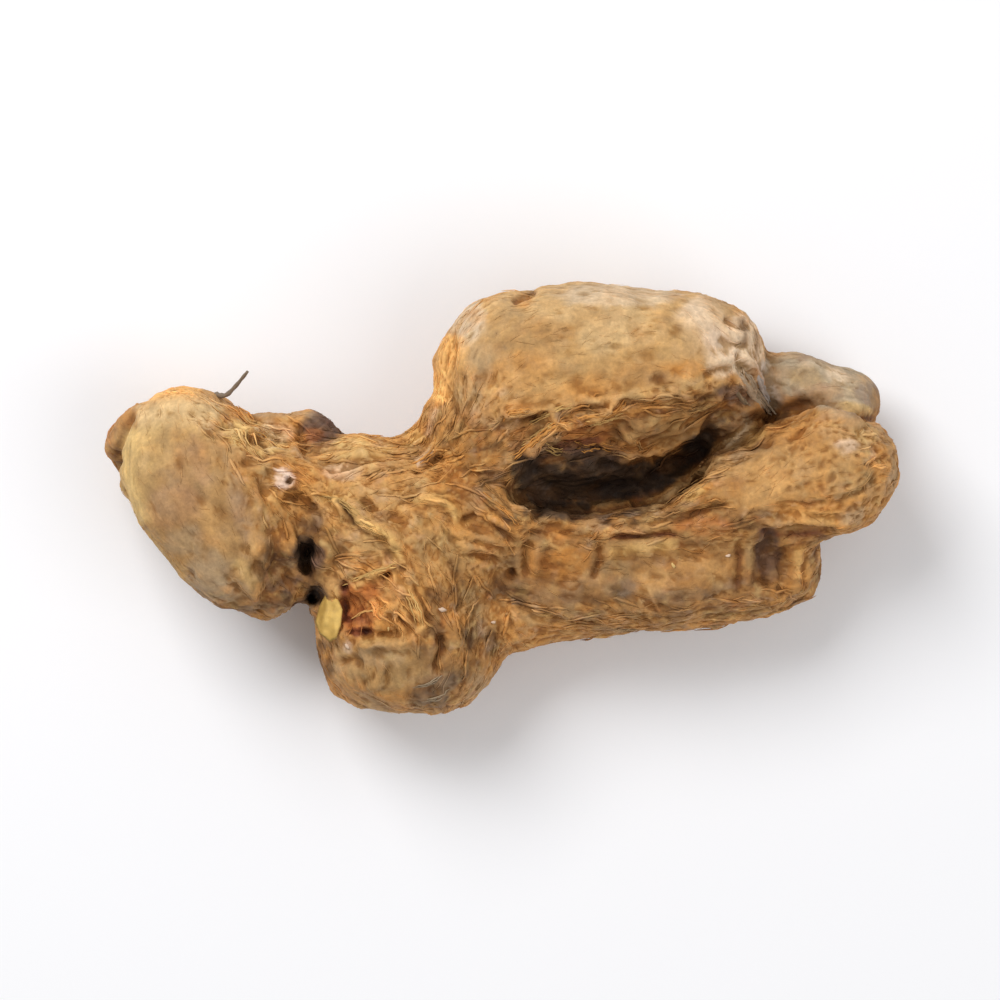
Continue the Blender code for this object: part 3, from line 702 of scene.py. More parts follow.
# Painted in this order. Spots: colour, strength, middle, half size, turn.
# Strokes: colour, strength, half width, line
paintWork = [
    # ground of the neck, the arm and the flank
    ("spot", "neckGold", 0.7, (-12, -2), (16, 12), 0),
    ("spot", "golden", 0.55, (-13, -3), (7.5, 6.5), -20),
    ("spot", "flankBrown", 0.9, (20, -9), (24, 7), 0),
    ("spot", "armBrown", 0.7, (22, 0), (14, 4), 12),
    # paddle
    ("spot", "tan", 0.95, (-37.4, 0.4), (8.6, 15.2), 29),
    ("stroke", "paleYellow", 0.95, 1.7, [(-43.6, 9), (-44.4, 5), (-43.6, 1), (-42.4, -3.4)]),
    ("stroke", "paleYellow", 0.5, 0.9, [(-42.4, -3.4), (-39.8, -7.6), (-36.8, -11.4)]),
    ("spot", "paleYellow", 0.3, (-38.5, 9), (5, 3), 0),
    ("spot", "pinkPale", 0.08, (-37, 3), (2.6, 5), 29),
    ("spot", "olive", 0.35, (-41, 1), (1.6, 6), 24),
    # Painted highlight along the paddle's top edge: the pale and bright orange strokes
    ("stroke", "pale", 0.95, 1.9, [(-43.6, 9.8), (-40, 10.6), (-36.4, 11.2), (-32.6, 10.0)]),
    ("stroke", "brightOrange", 0.8, 0.9, [(-43.4, 12.0), (-39, 13.2), (-35.4, 12.8)]),
    ("stroke", "darkBrown", 0.7, 0.5, [(-44.6, 9.2), (-45.4, 7), (-46.4, 5), (-46.8, 3)]),
    ("spot", "paleYellow", 0.35, (-41.2, 6.2), (3.6, 3.2), 0),
    ("spot", "rosy", 0.45, (-38.6, -0.8), (3.6, 3.0), 20),
    ("spot", "tan", 0.5, (-38.2, 7.2), (2.8, 1.6), 0),
    ("spot", "greyTan", 0.5, (-37.2, -4.8), (2.8, 1.8), 20),
    ("spot", "golden", 0.6, (-33.8, -3.4), (1.3, 3.6), 18),
    ("spot", "greyTan", 0.6, (-34.4, -8.8), (3.4, 3.2), 20),
    ("spot", "greyPurple", 0.35, (-30.6, -0.4), (1.3, 5.2), 12),
    ("spot", "rosy", 0.4, (-35.4, 4.6), (1.2, 3.4), 12),
    ("stroke", "redOrange", 0.45, 1.6, [(-48, 5), (-47.4, 8.6), (-44.8, 12)]),
    ("stroke", "paleYellow", 0.45, 0.8, [(-31.6, -7.2), (-30.0, -8.6), (-28.8, -10.8)]),
    # collar, stub, and painted shade in the gap beside the lower lobe
    ("spot", "neckBrown", 0.5, (-27.6, 2.6), (3.4, 5.4), 10),
    ("spot", "golden", 0.8, (-28.2, 4.2), (1.8, 1.6), 0),
    ("spot", "golden", 0.5, (-28.6, -5.0), (1.2, 2.6), 0),
    ("spot", "warmBrown", 0.8, (-24.0, -2.6), (2.6, 3.0), 0),
    # Painted shade: this stroke and the next two spots darken the recess beside the lower lobe
    ("stroke", "brown", 0.9, 1.8, [(-22.4, -1.6), (-22.0, -5.0), (-22.2, -8.6), (-22.2, -11.2)]),
    ("spot", "brown", 0.85, (-25.0, -9.2), (3.4, 4.3), 16),
    ("spot", "darkBrown", 0.75, (-24.4, -10.2), (2.8, 2.8), 20),
    ("spot", "golden", 0.5, (-28.1, -10.8), (0.9, 1.5), 0),
    ("spot", "brown", 0.3, (-33.4, -11.6), (2.8, 1.4), 0),
    # Painted shade at the top of the recess
    ("spot", "darkBrown", 0.65, (-22.2, -2.5), (1.7, 1.4), 0),
    ("spot", "brown", 0.3, (-11.6, -9.4), (2.6, 2.2), -40),
    ("spot", "brown", 0.65, (-19.7, -5.2), (2.1, 2.2), 0),
    # Painted shade in the recess, with the next spot
    ("spot", "darkBrown", 0.65, (-26.0, -7.8), (2.7, 3.8), 0),
    ("spot", "greyPurple", 0.35, (-25.6, -9.0), (2.6, 2.2), 20),
    # Painted shade under the paddle's lower end
    ("stroke", "darkBrown", 0.6, 0.9, [(-34, -12.8), (-30, -13), (-26, -12.4)]),
    # Painted shadow in the holes beside the chip: purple at the edge, black within
    ("spot", "purple", 0.8, (-21.7, -6.8), (1.2, 1.5), 0),
    ("spot", "black", 0.9, (-23.1, -5.8), (1.6, 2.1), 0),
    ("spot", "black", 0.9, (-21.8, -11.4), (1.5, 1.3), 0),
    ("stroke", "paleYellow", 0.45, 0.3, [(-21.4, -4.8), (-20.2, -5.4), (-20.0, -7)]),
    ("spot", "greyTan", 0.5, (-32.8, -11.0), (2.2, 1.4), 0),
    ("spot", "purple", 1.0, (-21.4, 8.8), (2.9, 2.7), 0),
    ("spot", "redOrange", 0.5, (-22.6, 7.6), (1.6, 1.0), 20),
    ("spot", "paleYellow", 0.9, (-28.8, 7.5), (4.2, 2.0), -14),
    ("spot", "pinkPale", 0.4, (-26.8, 8.2), (2.4, 1.4), -10),
    ("stroke", "dust", 0.5, 0.5, [(-30, 10.2), (-26, 10.4), (-22, 10.3)]),
    # bud
    ("spot", "budWhite", 0.95, (-25.5, 2.5), (1.3, 1.45), 0),
    ("spot", "greyPurple", 0.7, (-25.0, 2.3), (0.5, 0.6), -20),
    ("stroke", "darkRed", 0.8, 0.35, [(-24.2, 3.6), (-23.8, 2.4), (-24.4, 1.0)]),
    ("spot", "orange", 0.8, (-22.6, 2.3), (1.1, 0.7), 0),
    # neck
    ("spot", "golden", 0.7, (-15, 5), (8, 2.2), 0),
    ("stroke", "paleYellow", 0.6, 0.8, [(-22, 5.2), (-18, 5.4), (-14.6, 5.6), (-12.4, 6.2)]),
    ("spot", "pinkPale", 0.45, (-18.4, 3.4), (2.8, 1.2), 0),
    ("stroke", "pinkPale", 0.9, 0.5, [(-10, 4.2), (-9, 4.9), (-8, 5.9)]),
    ("stroke", "pinkPale", 0.5, 0.5, [(-8.8, 7.4), (-8.0, 9.4), (-7.6, 11)]),
    ("spot", "golden", 0.8, (-11.8, 0.4), (3.6, 2.2), 20),
    ("spot", "golden", 0.8, (-15.0, -6.8), (2.6, 1.6), -20),
    ("spot", "purple", 0.55, (-13.8, -2.0), (1.3, 0.8), 20),
    ("spot", "paleYellow", 0.45, (-9.8, -2.8), (1.6, 1.0), -30),
    ("spot", "orange", 0.5, (-6.2, 3), (2.6, 1.6), 20),
    ("spot", "warmBrown", 0.95, (-2.4, 2.4), (4.0, 4.6), 0),
    ("spot", "warmBrown", 0.65, (-0.8, -3.6), (3.4, 3.2), 0),
    ("spot", "brown", 0.55, (-6.2, 9.0), (2.2, 2.6), 0),
    ("spot", "paleGold", 0.7, (-10.4, 7.4), (1.6, 1.1), 0),
    ("spot", "paleYellow", 0.8, (-17.0, 6.8), (3.2, 1.0), 0),
    ("spot", "golden", 0.6, (2.2, -6.4), (1.3, 2.4), 0),
    ("spot", "olive", 0.6, (-8, -5.0), (3, 2.6), 0),
    ("spot", "purple", 0.5, (-7.0, -11.0), (2.0, 1.0), -10),
    ("stroke", "orange", 0.6, 0.5, [(-1.6, -1.2), (1.2, -3.2), (3.4, -4.8)]),
    ("stroke", "orange", 0.5, 0.4, [(-2.6, -3.0), (0.2, -4.8), (2.4, -6.4)]),
    ("stroke", "paleGold", 0.95, 0.55, [(-22.4, 0.6), (-18.6, -0.1), (-16.8, -2.6), (-14.6, -3.4),
                                        (-12.9, -4.6), (-11.4, -7.4)]),
    ("stroke", "paleGold", 0.8, 0.6, [(-10.6, -0.2), (-8.8, 0.2), (-7.0, -0.1), (-5.6, -1.0), (-5.0, -2.6)]),
    ("stroke", "darkBrown", 0.85, 0.32, [(-19.4, 0.2), (-18.3, -0.9), (-17.4, -2.4), (-16.9, -3.1)]),
    # Painted shadow under the collar
    ("stroke", "brown", 0.8, 0.6, [(-24.4, -0.8), (-22.4, -1.1), (-20.4, -1.4)]),
    ("stroke", "brown", 0.6, 0.4, [(-15.4, -4.6), (-13.8, -5.6), (-12.6, -7.2)]),
    ("stroke", "warmBrown", 0.7, 0.5, [(-10.2, -1.2), (-8.4, -1.0), (-6.6, -1.4), (-6.0, -2.8)]),
    ("spot", "darkBrown", 0.85, (-11.6, -8.0), (0.8, 0.45), -30),
    ("spot", "grey", 0.6, (-17.4, -9.4), (2.0, 0.6), 6),
    ("stroke", "golden", 0.8, 0.45, [(-5.2, -6.2), (-3.6, -8.4), (-2.8, -11.2)]),
    ("stroke", "brown", 0.7, 0.4, [(-6.2, -6.8), (-4.7, -9.0), (-4.0, -11.6)]),
    ("stroke", "brown", 0.8, 0.35, [(1.4, -6.4), (1.5, -8.2), (1.3, -9.8)]),
    ("stroke", "golden", 0.7, 0.5, [(-0.2, -5.6), (0.2, -7.6), (-0.2, -9.8)]),
    # torn zone
    ("spot", "orange", 0.7, (-14.4, -12), (5.2, 4.6), -40),
    ("spot", "redOrange", 0.95, (-16.7, -12.6), (2.9, 3.8), -20),
    ("stroke", "darkRed", 0.8, 0.6, [(-18.6, -9.8), (-18.4, -12.4), (-18.2, -15)]),
    ("spot", "darkRed", 0.9, (-16.4, -15.6), (1.8, 0.6), 4),
    ("spot", "darkRed", 0.7, (-18.5, -10.2), (0.7, 0.9), 0),
    ("spot", "brightOrange", 0.4, (-14.6, -12.2), (1.6, 0.8), 30),
    ("spot", "redOrange", 0.5, (-13.4, -10.4), (2.6, 1.9), -20),
    ("spot", "golden", 0.6, (-12.0, -15.8), (2.0, 1.0), 0),
    ("stroke", "darkRed", 0.75, 0.3, [(-18.8, -13.9), (-17.4, -14.2), (-16.2, -14.0)]),
    ("stroke", "paleGold", 0.7, 0.4, [(-17.4, -10.6), (-16, -9.4), (-13.4, -8.4)]),
    ("stroke", "paleGold", 0.55, 0.4, [(-12.9, -8.6), (-10.9, -10.8), (-9.8, -13.4), (-9.2, -15.8)]),
    ("stroke", "darkBrown", 0.6, 0.3, [(-11.8, -10.8), (-10.6, -13.2), (-10.0, -15.4)]),
    ("stroke", "paleYellow", 0.6, 0.4, [(-16.6, -17), (-13.6, -16.4), (-11.8, -16.8)]),
    ("spot", "brown", 0.3, (-13.2, -10.9), (1.6, 1.2), -40),
    ("spot", "brown", 0.3, (-10.0, -8.2), (1.5, 1.3), -40),
    ("spot", "darkRed", 0.35, (-16.2, -13.8), (1.3, 1.2), 0),
    ("stroke", "orange", 0.7, 0.35, [(-14.8, -13.6), (-12.6, -12.4)]),
    ("stroke", "orange", 0.7, 0.35, [(-13.4, -14.8), (-11.4, -13.4)]),
    ("spot", "pinkPale", 0.7, (-18.1, -17.6), (0.7, 0.9), 0),
    # lower lobe
    ("spot", "olive", 0.75, (-13.6, -19.8), (6.6, 3.4), 0),
    ("spot", "greyTan", 0.35, (-14.2, -18.6), (3.4, 1.4), 0),
    ("spot", "darkBrown", 0.7, (-21.6, -19.8), (1.7, 3.4), 0),
    ("stroke", "dust", 0.2, 0.8, [(-20.4, -22.8), (-19, -23.5), (-15, -24.6), (-9, -24.8)]),
    # Painted shade over the lobe's lower right: the brown, grey and dark brown spots from here to the last
    # dark brown one, all but the golden spot
    ("spot", "brown", 0.8, (-6.2, -18.6), (3.6, 5.4), 0),
    ("spot", "grey", 0.5, (-7.4, -22.6), (3.6, 2.6), 0),
    ("spot", "darkBrown", 0.6, (-8.2, -23.4), (3.6, 1.6), 0),
    ("spot", "golden", 0.5, (-13.2, -17.1), (2.2, 0.8), 0),
    ("spot", "brown", 0.6, (-7.6, -13.8), (1.6, 1.2), 0),
    ("spot", "grey", 0.15, (-6.8, -17.6), (2.2, 3.0), 0),
    ("spot", "darkBrown", 0.45, (-4.8, -18.0), (2.4, 4.4), 0),
    ("spot", "darkBrown", 0.6, (-2.6, -17), (2.6, 3.6), 0),
    ("spot", "olive", 0.6, (-3.6, -12.4), (2, 2.4), 0),
    ("spot", "brown", 0.6, (-6.8, -11.3), (2.4, 1.6), 0),
    # Painted shade in the hollow right of the lower lobe
    ("spot", "brown", 0.5, (0.6, -10.6), (2.6, 2.2), 0),
    # bulb
    ("spot", "bulbGold", 0.95, (11.6, 18.2), (20.5, 9.6), 4),
    ("spot", "pale", 0.45, (9, 23.8), (13, 3.2), 0),
    ("spot", "paleGrey", 0.85, (-4.3, 21.4), (2.7, 3.6), 0),
    ("spot", "paleGrey", 0.7, (14, 24.4), (8, 1.8), 0),
    ("stroke", "brightOrange", 1.0, 1.7, [(-7.6, 11.4), (-7.2, 13.5), (-6.6, 16), (-5.4, 20)]),
    ("spot", "greyTan", 0.5, (-2.6, 15), (2.0, 4.4), -12),
    ("spot", "pale", 0.35, (-4.2, 13.2), (1.2, 2.2), -12),
    ("stroke", "cream", 0.9, 2.0, [(22.0, 23.8), (25.0, 20.4), (26.7, 17.6), (28, 14.8)]),
    ("stroke", "brown", 0.7, 0.4, [(4.4, 24.9), (3.0, 24.2), (1.4, 23.4)]),
    ("spot", "orange", 0.6, (2.6, 23.2), (1.2, 0.7), 20),
    ("spot", "cream", 0.9, (29.4, 18.8), (2.3, 3.8), 20),
    ("spot", "tan", 0.7, (3.4, 17.8), (4.0, 3.2), 30),
    ("spot", "tan", 0.5, (1.4, 21.6), (1.8, 1.6), 0),
    ("spot", "tan", 0.4, (-0.6, 18.4), (1.5, 1.8), 0),
    ("spot", "tan", 0.4, (10.8, 21.4), (2.4, 1.5), 0),
    ("spot", "pale", 0.35, (16.4, 20.4), (2.6, 3.0), 0),
    ("spot", "golden", 0.6, (12.8, 10.2), (2.4, 0.9), 0),
    ("spot", "golden", 0.85, (5.0, 10.3), (1.7, 1.0), 0),
    ("spot", "pale", 0.6, (12.4, 19.2), (3.6, 2.4), 0),
    ("spot", "brown", 0.9, (8.4, 10.0), (2.0, 1.2), 0),
    ("spot", "golden", 0.8, (2.2, 10.4), (1.6, 0.9), 0),
    ("spot", "orange", 0.45, (2, 15), (5, 2.4), 10),
    ("spot", "armBrown", 0.8, (17.4, 14.8), (6, 1.6), 4),
    ("spot", "armBrown", 0.45, (6, 20), (3, 1.2), 0),
    ("stroke", "orange", 0.55, 1.3, [(-3, 10), (5, 11.6), (11, 12.8), (15, 13.2)]),
    ("spot", "orange", 0.75, (21.8, 15.4), (2.6, 1.3), 0),
    ("spot", "budWhite", 0.3, (26.0, 18.4), (2.6, 1.6), -50),
    ("stroke", "darkBrown", 0.85, 0.5, [(21.8, 12.0), (23.6, 12.0), (25.4, 12.4), (27.4, 13.2)]),
    ("spot", "cream", 0.6, (26.6, 16.6), (2.0, 2.8), -40),
    ("stroke", "brown", 0.6, 0.35, [(28.4, 21.8), (29.2, 19.8), (28.8, 17.8)]),
    ("stroke", "brown", 0.6, 0.3, [(30.2, 20.6), (30.8, 18.6), (30.4, 16.6)]),
    ("spot", "orange", 0.45, (10.2, 13.4), (2.6, 1.8), 0),
    ("spot", "brown", 0.55, (18.7, 14.4), (1.3, 0.8), 10),
    # the bulge under the rim, the mouth and the crevice at its right end, with painted shadow in the mouth
    ("spot", "warmBrown", 0.75, (2.4, 7.6), (2.4, 1.6), 30),
    ("spot", "warmBrown", 0.9, (16, 8.6), (10.4, 3.2), 12),
    ("spot", "olive", 0.6, (22, 8.8), (5, 2.2), 24),
    ("spot", "redOrange", 0.5, (10.6, 7.8), (4, 1.2), 0),
    ("spot", "olive", 0.55, (16.5, 8.6), (4.0, 1.3), 14),
    ("spot", "darkRed", 0.75, (9.2, 6.7), (3.6, 0.7), 6),
    # Painted shadow in the mouth from here on: the black spots, the purple stroke down its upper wall, and
    # the brown, purple and dark brown spots at its right end towards the crevice
    ("spot", "black", 0.8, (10.4, 5.9), (2.2, 0.6), 4),
    ("spot", "brown", 0.7, (24.8, 9.8), (2.4, 1.2), 40),
    ("spot", "purple", 0.85, (28.4, 12.5), (3.2, 1.3), -6),
    ("stroke", "purple", 0.9, 1.3, [(2.4, 3.2), (4.4, 4.8), (8, 5.4), (12, 5.0), (15, 4.6)]),
    ("spot", "black", 1.0, (6.0, 1.7), (4.3, 3.1), 0),
    ("spot", "black", 1.0, (11.4, 2.3), (5.2, 3.3), 0),
    ("spot", "black", 1.0, (16.6, 2.4), (4.6, 2.5), 8),
    ("spot", "black", 1.0, (20.2, 3.5), (3.6, 2.0), 32),
    ("spot", "black", 1.0, (23.6, 6.1), (3.2, 1.8), 42),
    ("spot", "black", 0.8, (25.3, 8.0), (1.4, 1.2), 50),
    ("spot", "brown", 0.55, (20.9, 4.5), (2.6, 1.0), 32),
    ("spot", "darkBrown", 0.6, (27.2, 10.5), (1.7, 1.3), 52),
    ("spot", "warmBrown", 0.6, (6.2, 4.8), (1.6, 0.5), 10),
    ("spot", "black", 0.95, (2.9, 3.8), (2.0, 2.0), 0),
    # Painted shadow under the mouth's lower lip: this black spot and the next two dark brown ones
    ("spot", "black", 0.9, (7.6, -1.3), (4.2, 1.4), 0),
    ("spot", "darkBrown", 0.8, (14.0, -1.7), (2.6, 0.9), 0),
    ("spot", "darkBrown", 0.9, (2.0, -2.1), (1.8, 1.3), 0),
    ("spot", "brown", 0.85, (-0.6, 1.0), (1.9, 3.2), 24),
    ("spot", "brown", 0.75, (-1.2, 7.0), (3.4, 1.5), 10),
    ("spot", "greyPurple", 0.55, (4.9, 1.0), (1.7, 1.3), 0),
    ("stroke", "paleGrey", 1.0, 0.9, [(27.4, 16.4), (29.0, 15.0), (30.8, 13.2), (32.2, 11.6), (33.4, 10.6)]),
    ("stroke", "cream", 0.5, 0.6, [(31.0, 18.4), (31.4, 16.4), (32.2, 14.4)]),
    ("stroke", "ashGrey", 0.9, 1.0, [(31.2, 16.8), (32.2, 14.4), (32.8, 12.4), (33.2, 10.8)]),
    ("spot", "greyPurple", 0.8, (28.6, 11.6), (1.8, 1.2), -20),
    ("stroke", "orange", 0.4, 0.4, [(33.6, 15.4), (34.2, 13.2), (34.6, 11.4)]),
    ("stroke", "darkBrown", 0.8, 0.4, [(33.1, 9.8), (33.9, 9.9), (34.9, 10.5)]),
    ("spot", "paleGold", 0.85, (29.4, 7.5), (2.6, 1.5), 20),
    ("stroke", "paleGrey", 0.9, 0.7, [(26.8, 6.4), (28.2, 7.0), (29.2, 8.2), (29.6, 9.6), (29.0, 10.8)]),
    ("stroke", "brown", 0.4, 0.3, [(28.6, 6.4), (30.2, 7.0), (31.8, 7.2), (33.4, 8.0)]),
    # arm
    ("spot", "golden", 0.8, (32, 2.8), (7, 3.4), 15),
    ("spot", "golden", 0.6, (42.2, 4.4), (5, 5.4), 0),
    ("spot", "olive", 0.6, (41.6, 2.6), (3.4, 2.8), 30),
    # Painted highlight near the arm's tip
    ("spot", "pinkPale", 0.6, (41.2, 6.4), (1.5, 0.9), 0),
    ("spot", "paleYellow", 0.5, (43.6, 8), (1.8, 1.4), -40),
    ("spot", "orange", 0.6, (45.4, 4.6), (1.4, 2.8), 0),
    # Painted shadow under the mouth's lower lip: this spot and the next
    ("spot", "brown", 0.95, (17.0, -1.5), (5.6, 1.5), 8),
    ("spot", "darkBrown", 0.9, (14.8, -2.1), (3.6, 1.1), 4),
    ("spot", "olive", 0.6, (13.6, -0.4), (3.0, 0.5), 0),
    ("spot", "warmBrown", 0.7, (25.6, 0.6), (4.8, 1.6), 24),
    ("spot", "brown", 0.5, (28.4, -2.0), (4.6, 1.1), 2),
    ("spot", "redOrange", 0.6, (24.6, -3.2), (4, 1.2), 0),
    # Painted shadow in the crease between the side knob and the arm
    ("stroke", "brown", 0.75, 0.7, [(33, 10.2), (36.2, 11.8), (38.6, 11.8), (41.6, 10.8), (45.6, 9.4)]),
    ("spot", "brown", 0.7, (30.6, -2.4), (3.6, 1.3), 0),
    ("stroke", "paleYellow", 0.4, 0.9, [(35.6, -2.1), (38, -2.2), (40, -2.4)]),
    ("spot", "greyTan", 0.6, (41.6, -1.8), (1.8, 1.4), 0),
    ("stroke", "pale", 0.8, 0.4, [(17.6, -1.6), (19.6, 0.0), (21.7, 1.7), (24.6, 3.6), (27.0, 5.6)]),
    ("spot", "paleGold", 0.7, (23.2, 0.8), (2.0, 0.8), 35),
    ("spot", "orange", 0.6, (24.8, 1.8), (0.9, 0.7), 30),
    ("spot", "golden", 0.6, (26.6, 3.6), (1.5, 0.9), 45),
    # flank
    ("spot", "warmBrown", 0.95, (7.8, -7.6), (3.6, 2.4), 0),
    ("spot", "brown", 0.75, (11.0, -11.5), (5.4, 1.4), 0),
    ("spot", "brown", 0.6, (13.8, -5.0), (2.2, 0.6), 0),
    # Painted shade in the hollow right of the lower lobe
    ("spot", "darkBrown", 0.6, (1.2, -11.3), (2.6, 1.3), 0),
    ("stroke", "brown", 0.6, 0.5, [(11.2, -4.9), (11.4, -7), (10.8, -9.8)]),
    ("spot", "olive", 0.7, (13.6, -8.6), (2.4, 1.8), 0),
    ("spot", "grey", 0.7, (14.2, -10.4), (2.4, 1.3), 0),
    ("spot", "golden", 0.6, (18, -9.6), (2, 2.2), 0),
    ("spot", "grey", 0.35, (22, -11.4), (4, 1.2), 0),
    ("stroke", "orange", 0.6, 0.6, [(3.9, -4.6), (3.6, -7), (3.8, -9.4)]),
    ("stroke", "paleGold", 0.7, 0.9, [(12.6, -6.4), (15.2, -5.8), (18.4, -5.5), (21.6, -5.2)]),
    ("spot", "golden", 0.6, (23.4, -7.2), (2.6, 2.0), 0),
    ("spot", "brown", 0.3, (12.8, -9.2), (3.2, 2.4), 0),
    ("spot", "brown", 0.35, (14.4, -5.2), (1.6, 1.0), 0),
    ("spot", "armBrown", 0.8, (24.8, -7.6), (3.4, 2.8), 0),
    ("spot", "brown", 0.55, (28.8, -9.6), (1.8, 3.2), 0),
    ("spot", "brown", 0.65, (38.9, -7.2), (1.4, 4.2), 0),
    ("stroke", "olive", 0.7, 0.7, [(29.8, -4.8), (29.9, -6.6), (29.6, -8.6)]),
    ("stroke", "darkRed", 0.9, 0.28, [(12.6, -4.6), (14, -4.3), (16, -4.4), (18, -4.1), (19.8, -4.0),
                                      (21.4, -4.5)]),
    ("stroke", "darkRed", 0.9, 0.5, [(30.4, -3.6), (34, -4.2), (39, -3.8)]),
    ("stroke", "darkRed", 0.35, 0.4, [(28.4, -4.8), (28.6, -7.4), (28.2, -11)]),
    ("spot", "purple", 0.85, (32, -6.4), (1.8, 3.6), 0),
    # Painted highlight down the post of the flank: this stroke and the pale gold spot
    ("stroke", "brightOrange", 1.0, 0.9, [(35.9, -5.2), (36.1, -7), (36.0, -9.6)]),
    ("spot", "paleGold", 0.6, (35.9, -6.7), (0.9, 1.6), 0),
    ("stroke", "warmBrown", 0.8, 0.5, [(34.6, -5.0), (34.8, -8), (34.6, -12)]),
    ("stroke", "warmBrown", 0.7, 0.3, [(36.4, -6), (36.3, -11)]),
    # side knob
    ("spot", "knobGrey", 0.95, (39.4, 14.4), (8, 4.0), -16),
    ("spot", "olive", 0.6, (36.6, 14.8), (2.0, 1.6), 0),
    ("stroke", "greyPurple", 0.7, 0.45, [(35.4, 17.0), (37.8, 17.4), (40.6, 16.4)]),
    ("spot", "cream", 0.55, (40.4, 15.0), (1.7, 0.9), -20),
    ("spot", "greyPurple", 0.5, (38.2, 13.2), (1.5, 0.7), 20),
    ("spot", "greyPurple", 0.5, (43.8, 12.8), (1.5, 1.4), -30),
    ("spot", "brown", 0.6, (45.7, 11.8), (1.3, 2.0), -10),
    ("spot", "paleYellow", 0.7, (42.6, 11.0), (2.6, 0.8), -14),
]

# Where one of these lies, and on every stroke, the random patches are weaker
keptClear = ("black", "purple", "darkRed", "redOrange", "brightOrange", "budWhite", "pinkPale", "cream")

# Small patches all over the rough skin: colour, strength, size, least and full height of the noise, seed
mottling = [
    ("golden", 0.45, 3.2, 0.10, 0.5, 51),
    ("warmBrown", 0.35, 2.4, 0.20, 0.7, 52),
    ("orange", 0.40, 4.0, 0.15, 0.6, 53),
    ("olive", 0.40, 2.8, 0.25, 0.7, 54),
    ("redOrange", 0.30, 2.6, 0.35, 0.8, 55),
    ("pinkPale", 0.20, 2.0, 0.35, 0.85, 57),
    ("paleYellow", 0.35, 1.4, 0.30, 0.75, 56),
]

# How strong the ground colours are and what ageing and wearing add, with painted shade in hollows, in the
# creases of folds and in closed-in places, and painted highlight on ridges. The tints are what the painted
# shade in a hollow and in a sheltered place leaves of red, green and blue
wearAndShade = {
    "groundGrey": 0.6,
    "groundOrange": 0.35,
    "underneath": 0.6,
    "hollowShade": 0.34,
    "hollowShadeTint": (1.0, 0.84, 0.62),
    "ridgeHighlight": 0.10,
    "shadeDark": 0.5,
    "shadeTint": (1.0, 0.88, 0.72),
    "foldShade": 0.6,
    "foldHighlight": 0.25,
    "peelStrength": 0.3,
    "dustStrength": 0.15,
    "streaks": 0.055,
    "clouds": 0.15,
}


def foldMarks(places):
    # How much each place lies on a ridge, and in a crease, 0 to 1: where painted highlight and painted shade
    # go on the folds
    ridge = np.zeros(len(places))
    crease = np.zeros(len(places))
    edge = lumps(places, 1.2, 36, 2) * 0.35
    for height, half, line in folds:
        gap, along, _, _ = toLine(places, line, 4 * half)
        mark = np.exp(-((gap * (1 + edge)) / half) ** 2) * taper(along) * min(abs(height), 1.0)
        if height > 0:
            ridge = np.maximum(ridge, mark)
        else:
            crease = np.maximum(crease, mark)
    return ridge, crease


def shelter(skin, step=14, rays=18, reach=14.0):
    # How closed in each point is: 0 open, 1 deep in a hollow. It sets the painted shade of the skin
    tree = BVHTree.FromPolygons([tuple(place) for place in skin.places.tolist()],
                                [tuple(face.vertices) for face in skin.mesh.polygons])
    rng = np.random.default_rng(12)
    known = np.zeros(skin.count)
    hits = np.zeros(skin.count)
    chosen = np.arange(0, skin.count, step)
    aims = unit(rng.standard_normal((len(chosen), rays, 3)) + skin.out[chosen][:, None, :] * 1.7)
    for row, index in enumerate(chosen):
        start = Vector(skin.places[index] + skin.out[index] * 0.25)
        blocked = 0.0
        for aim in aims[row]:
            _, _, _, gap = tree.ray_cast(start, Vector(aim), reach)
            if gap is not None:
                blocked += 1 - 0.6 * gap / reach
        known[index] = 1.0
        hits[index] = blocked / rays
    known = skin.spread(known, 14)
    hits = skin.spread(hits, 14)
    return hits / np.maximum(known, 1e-6)


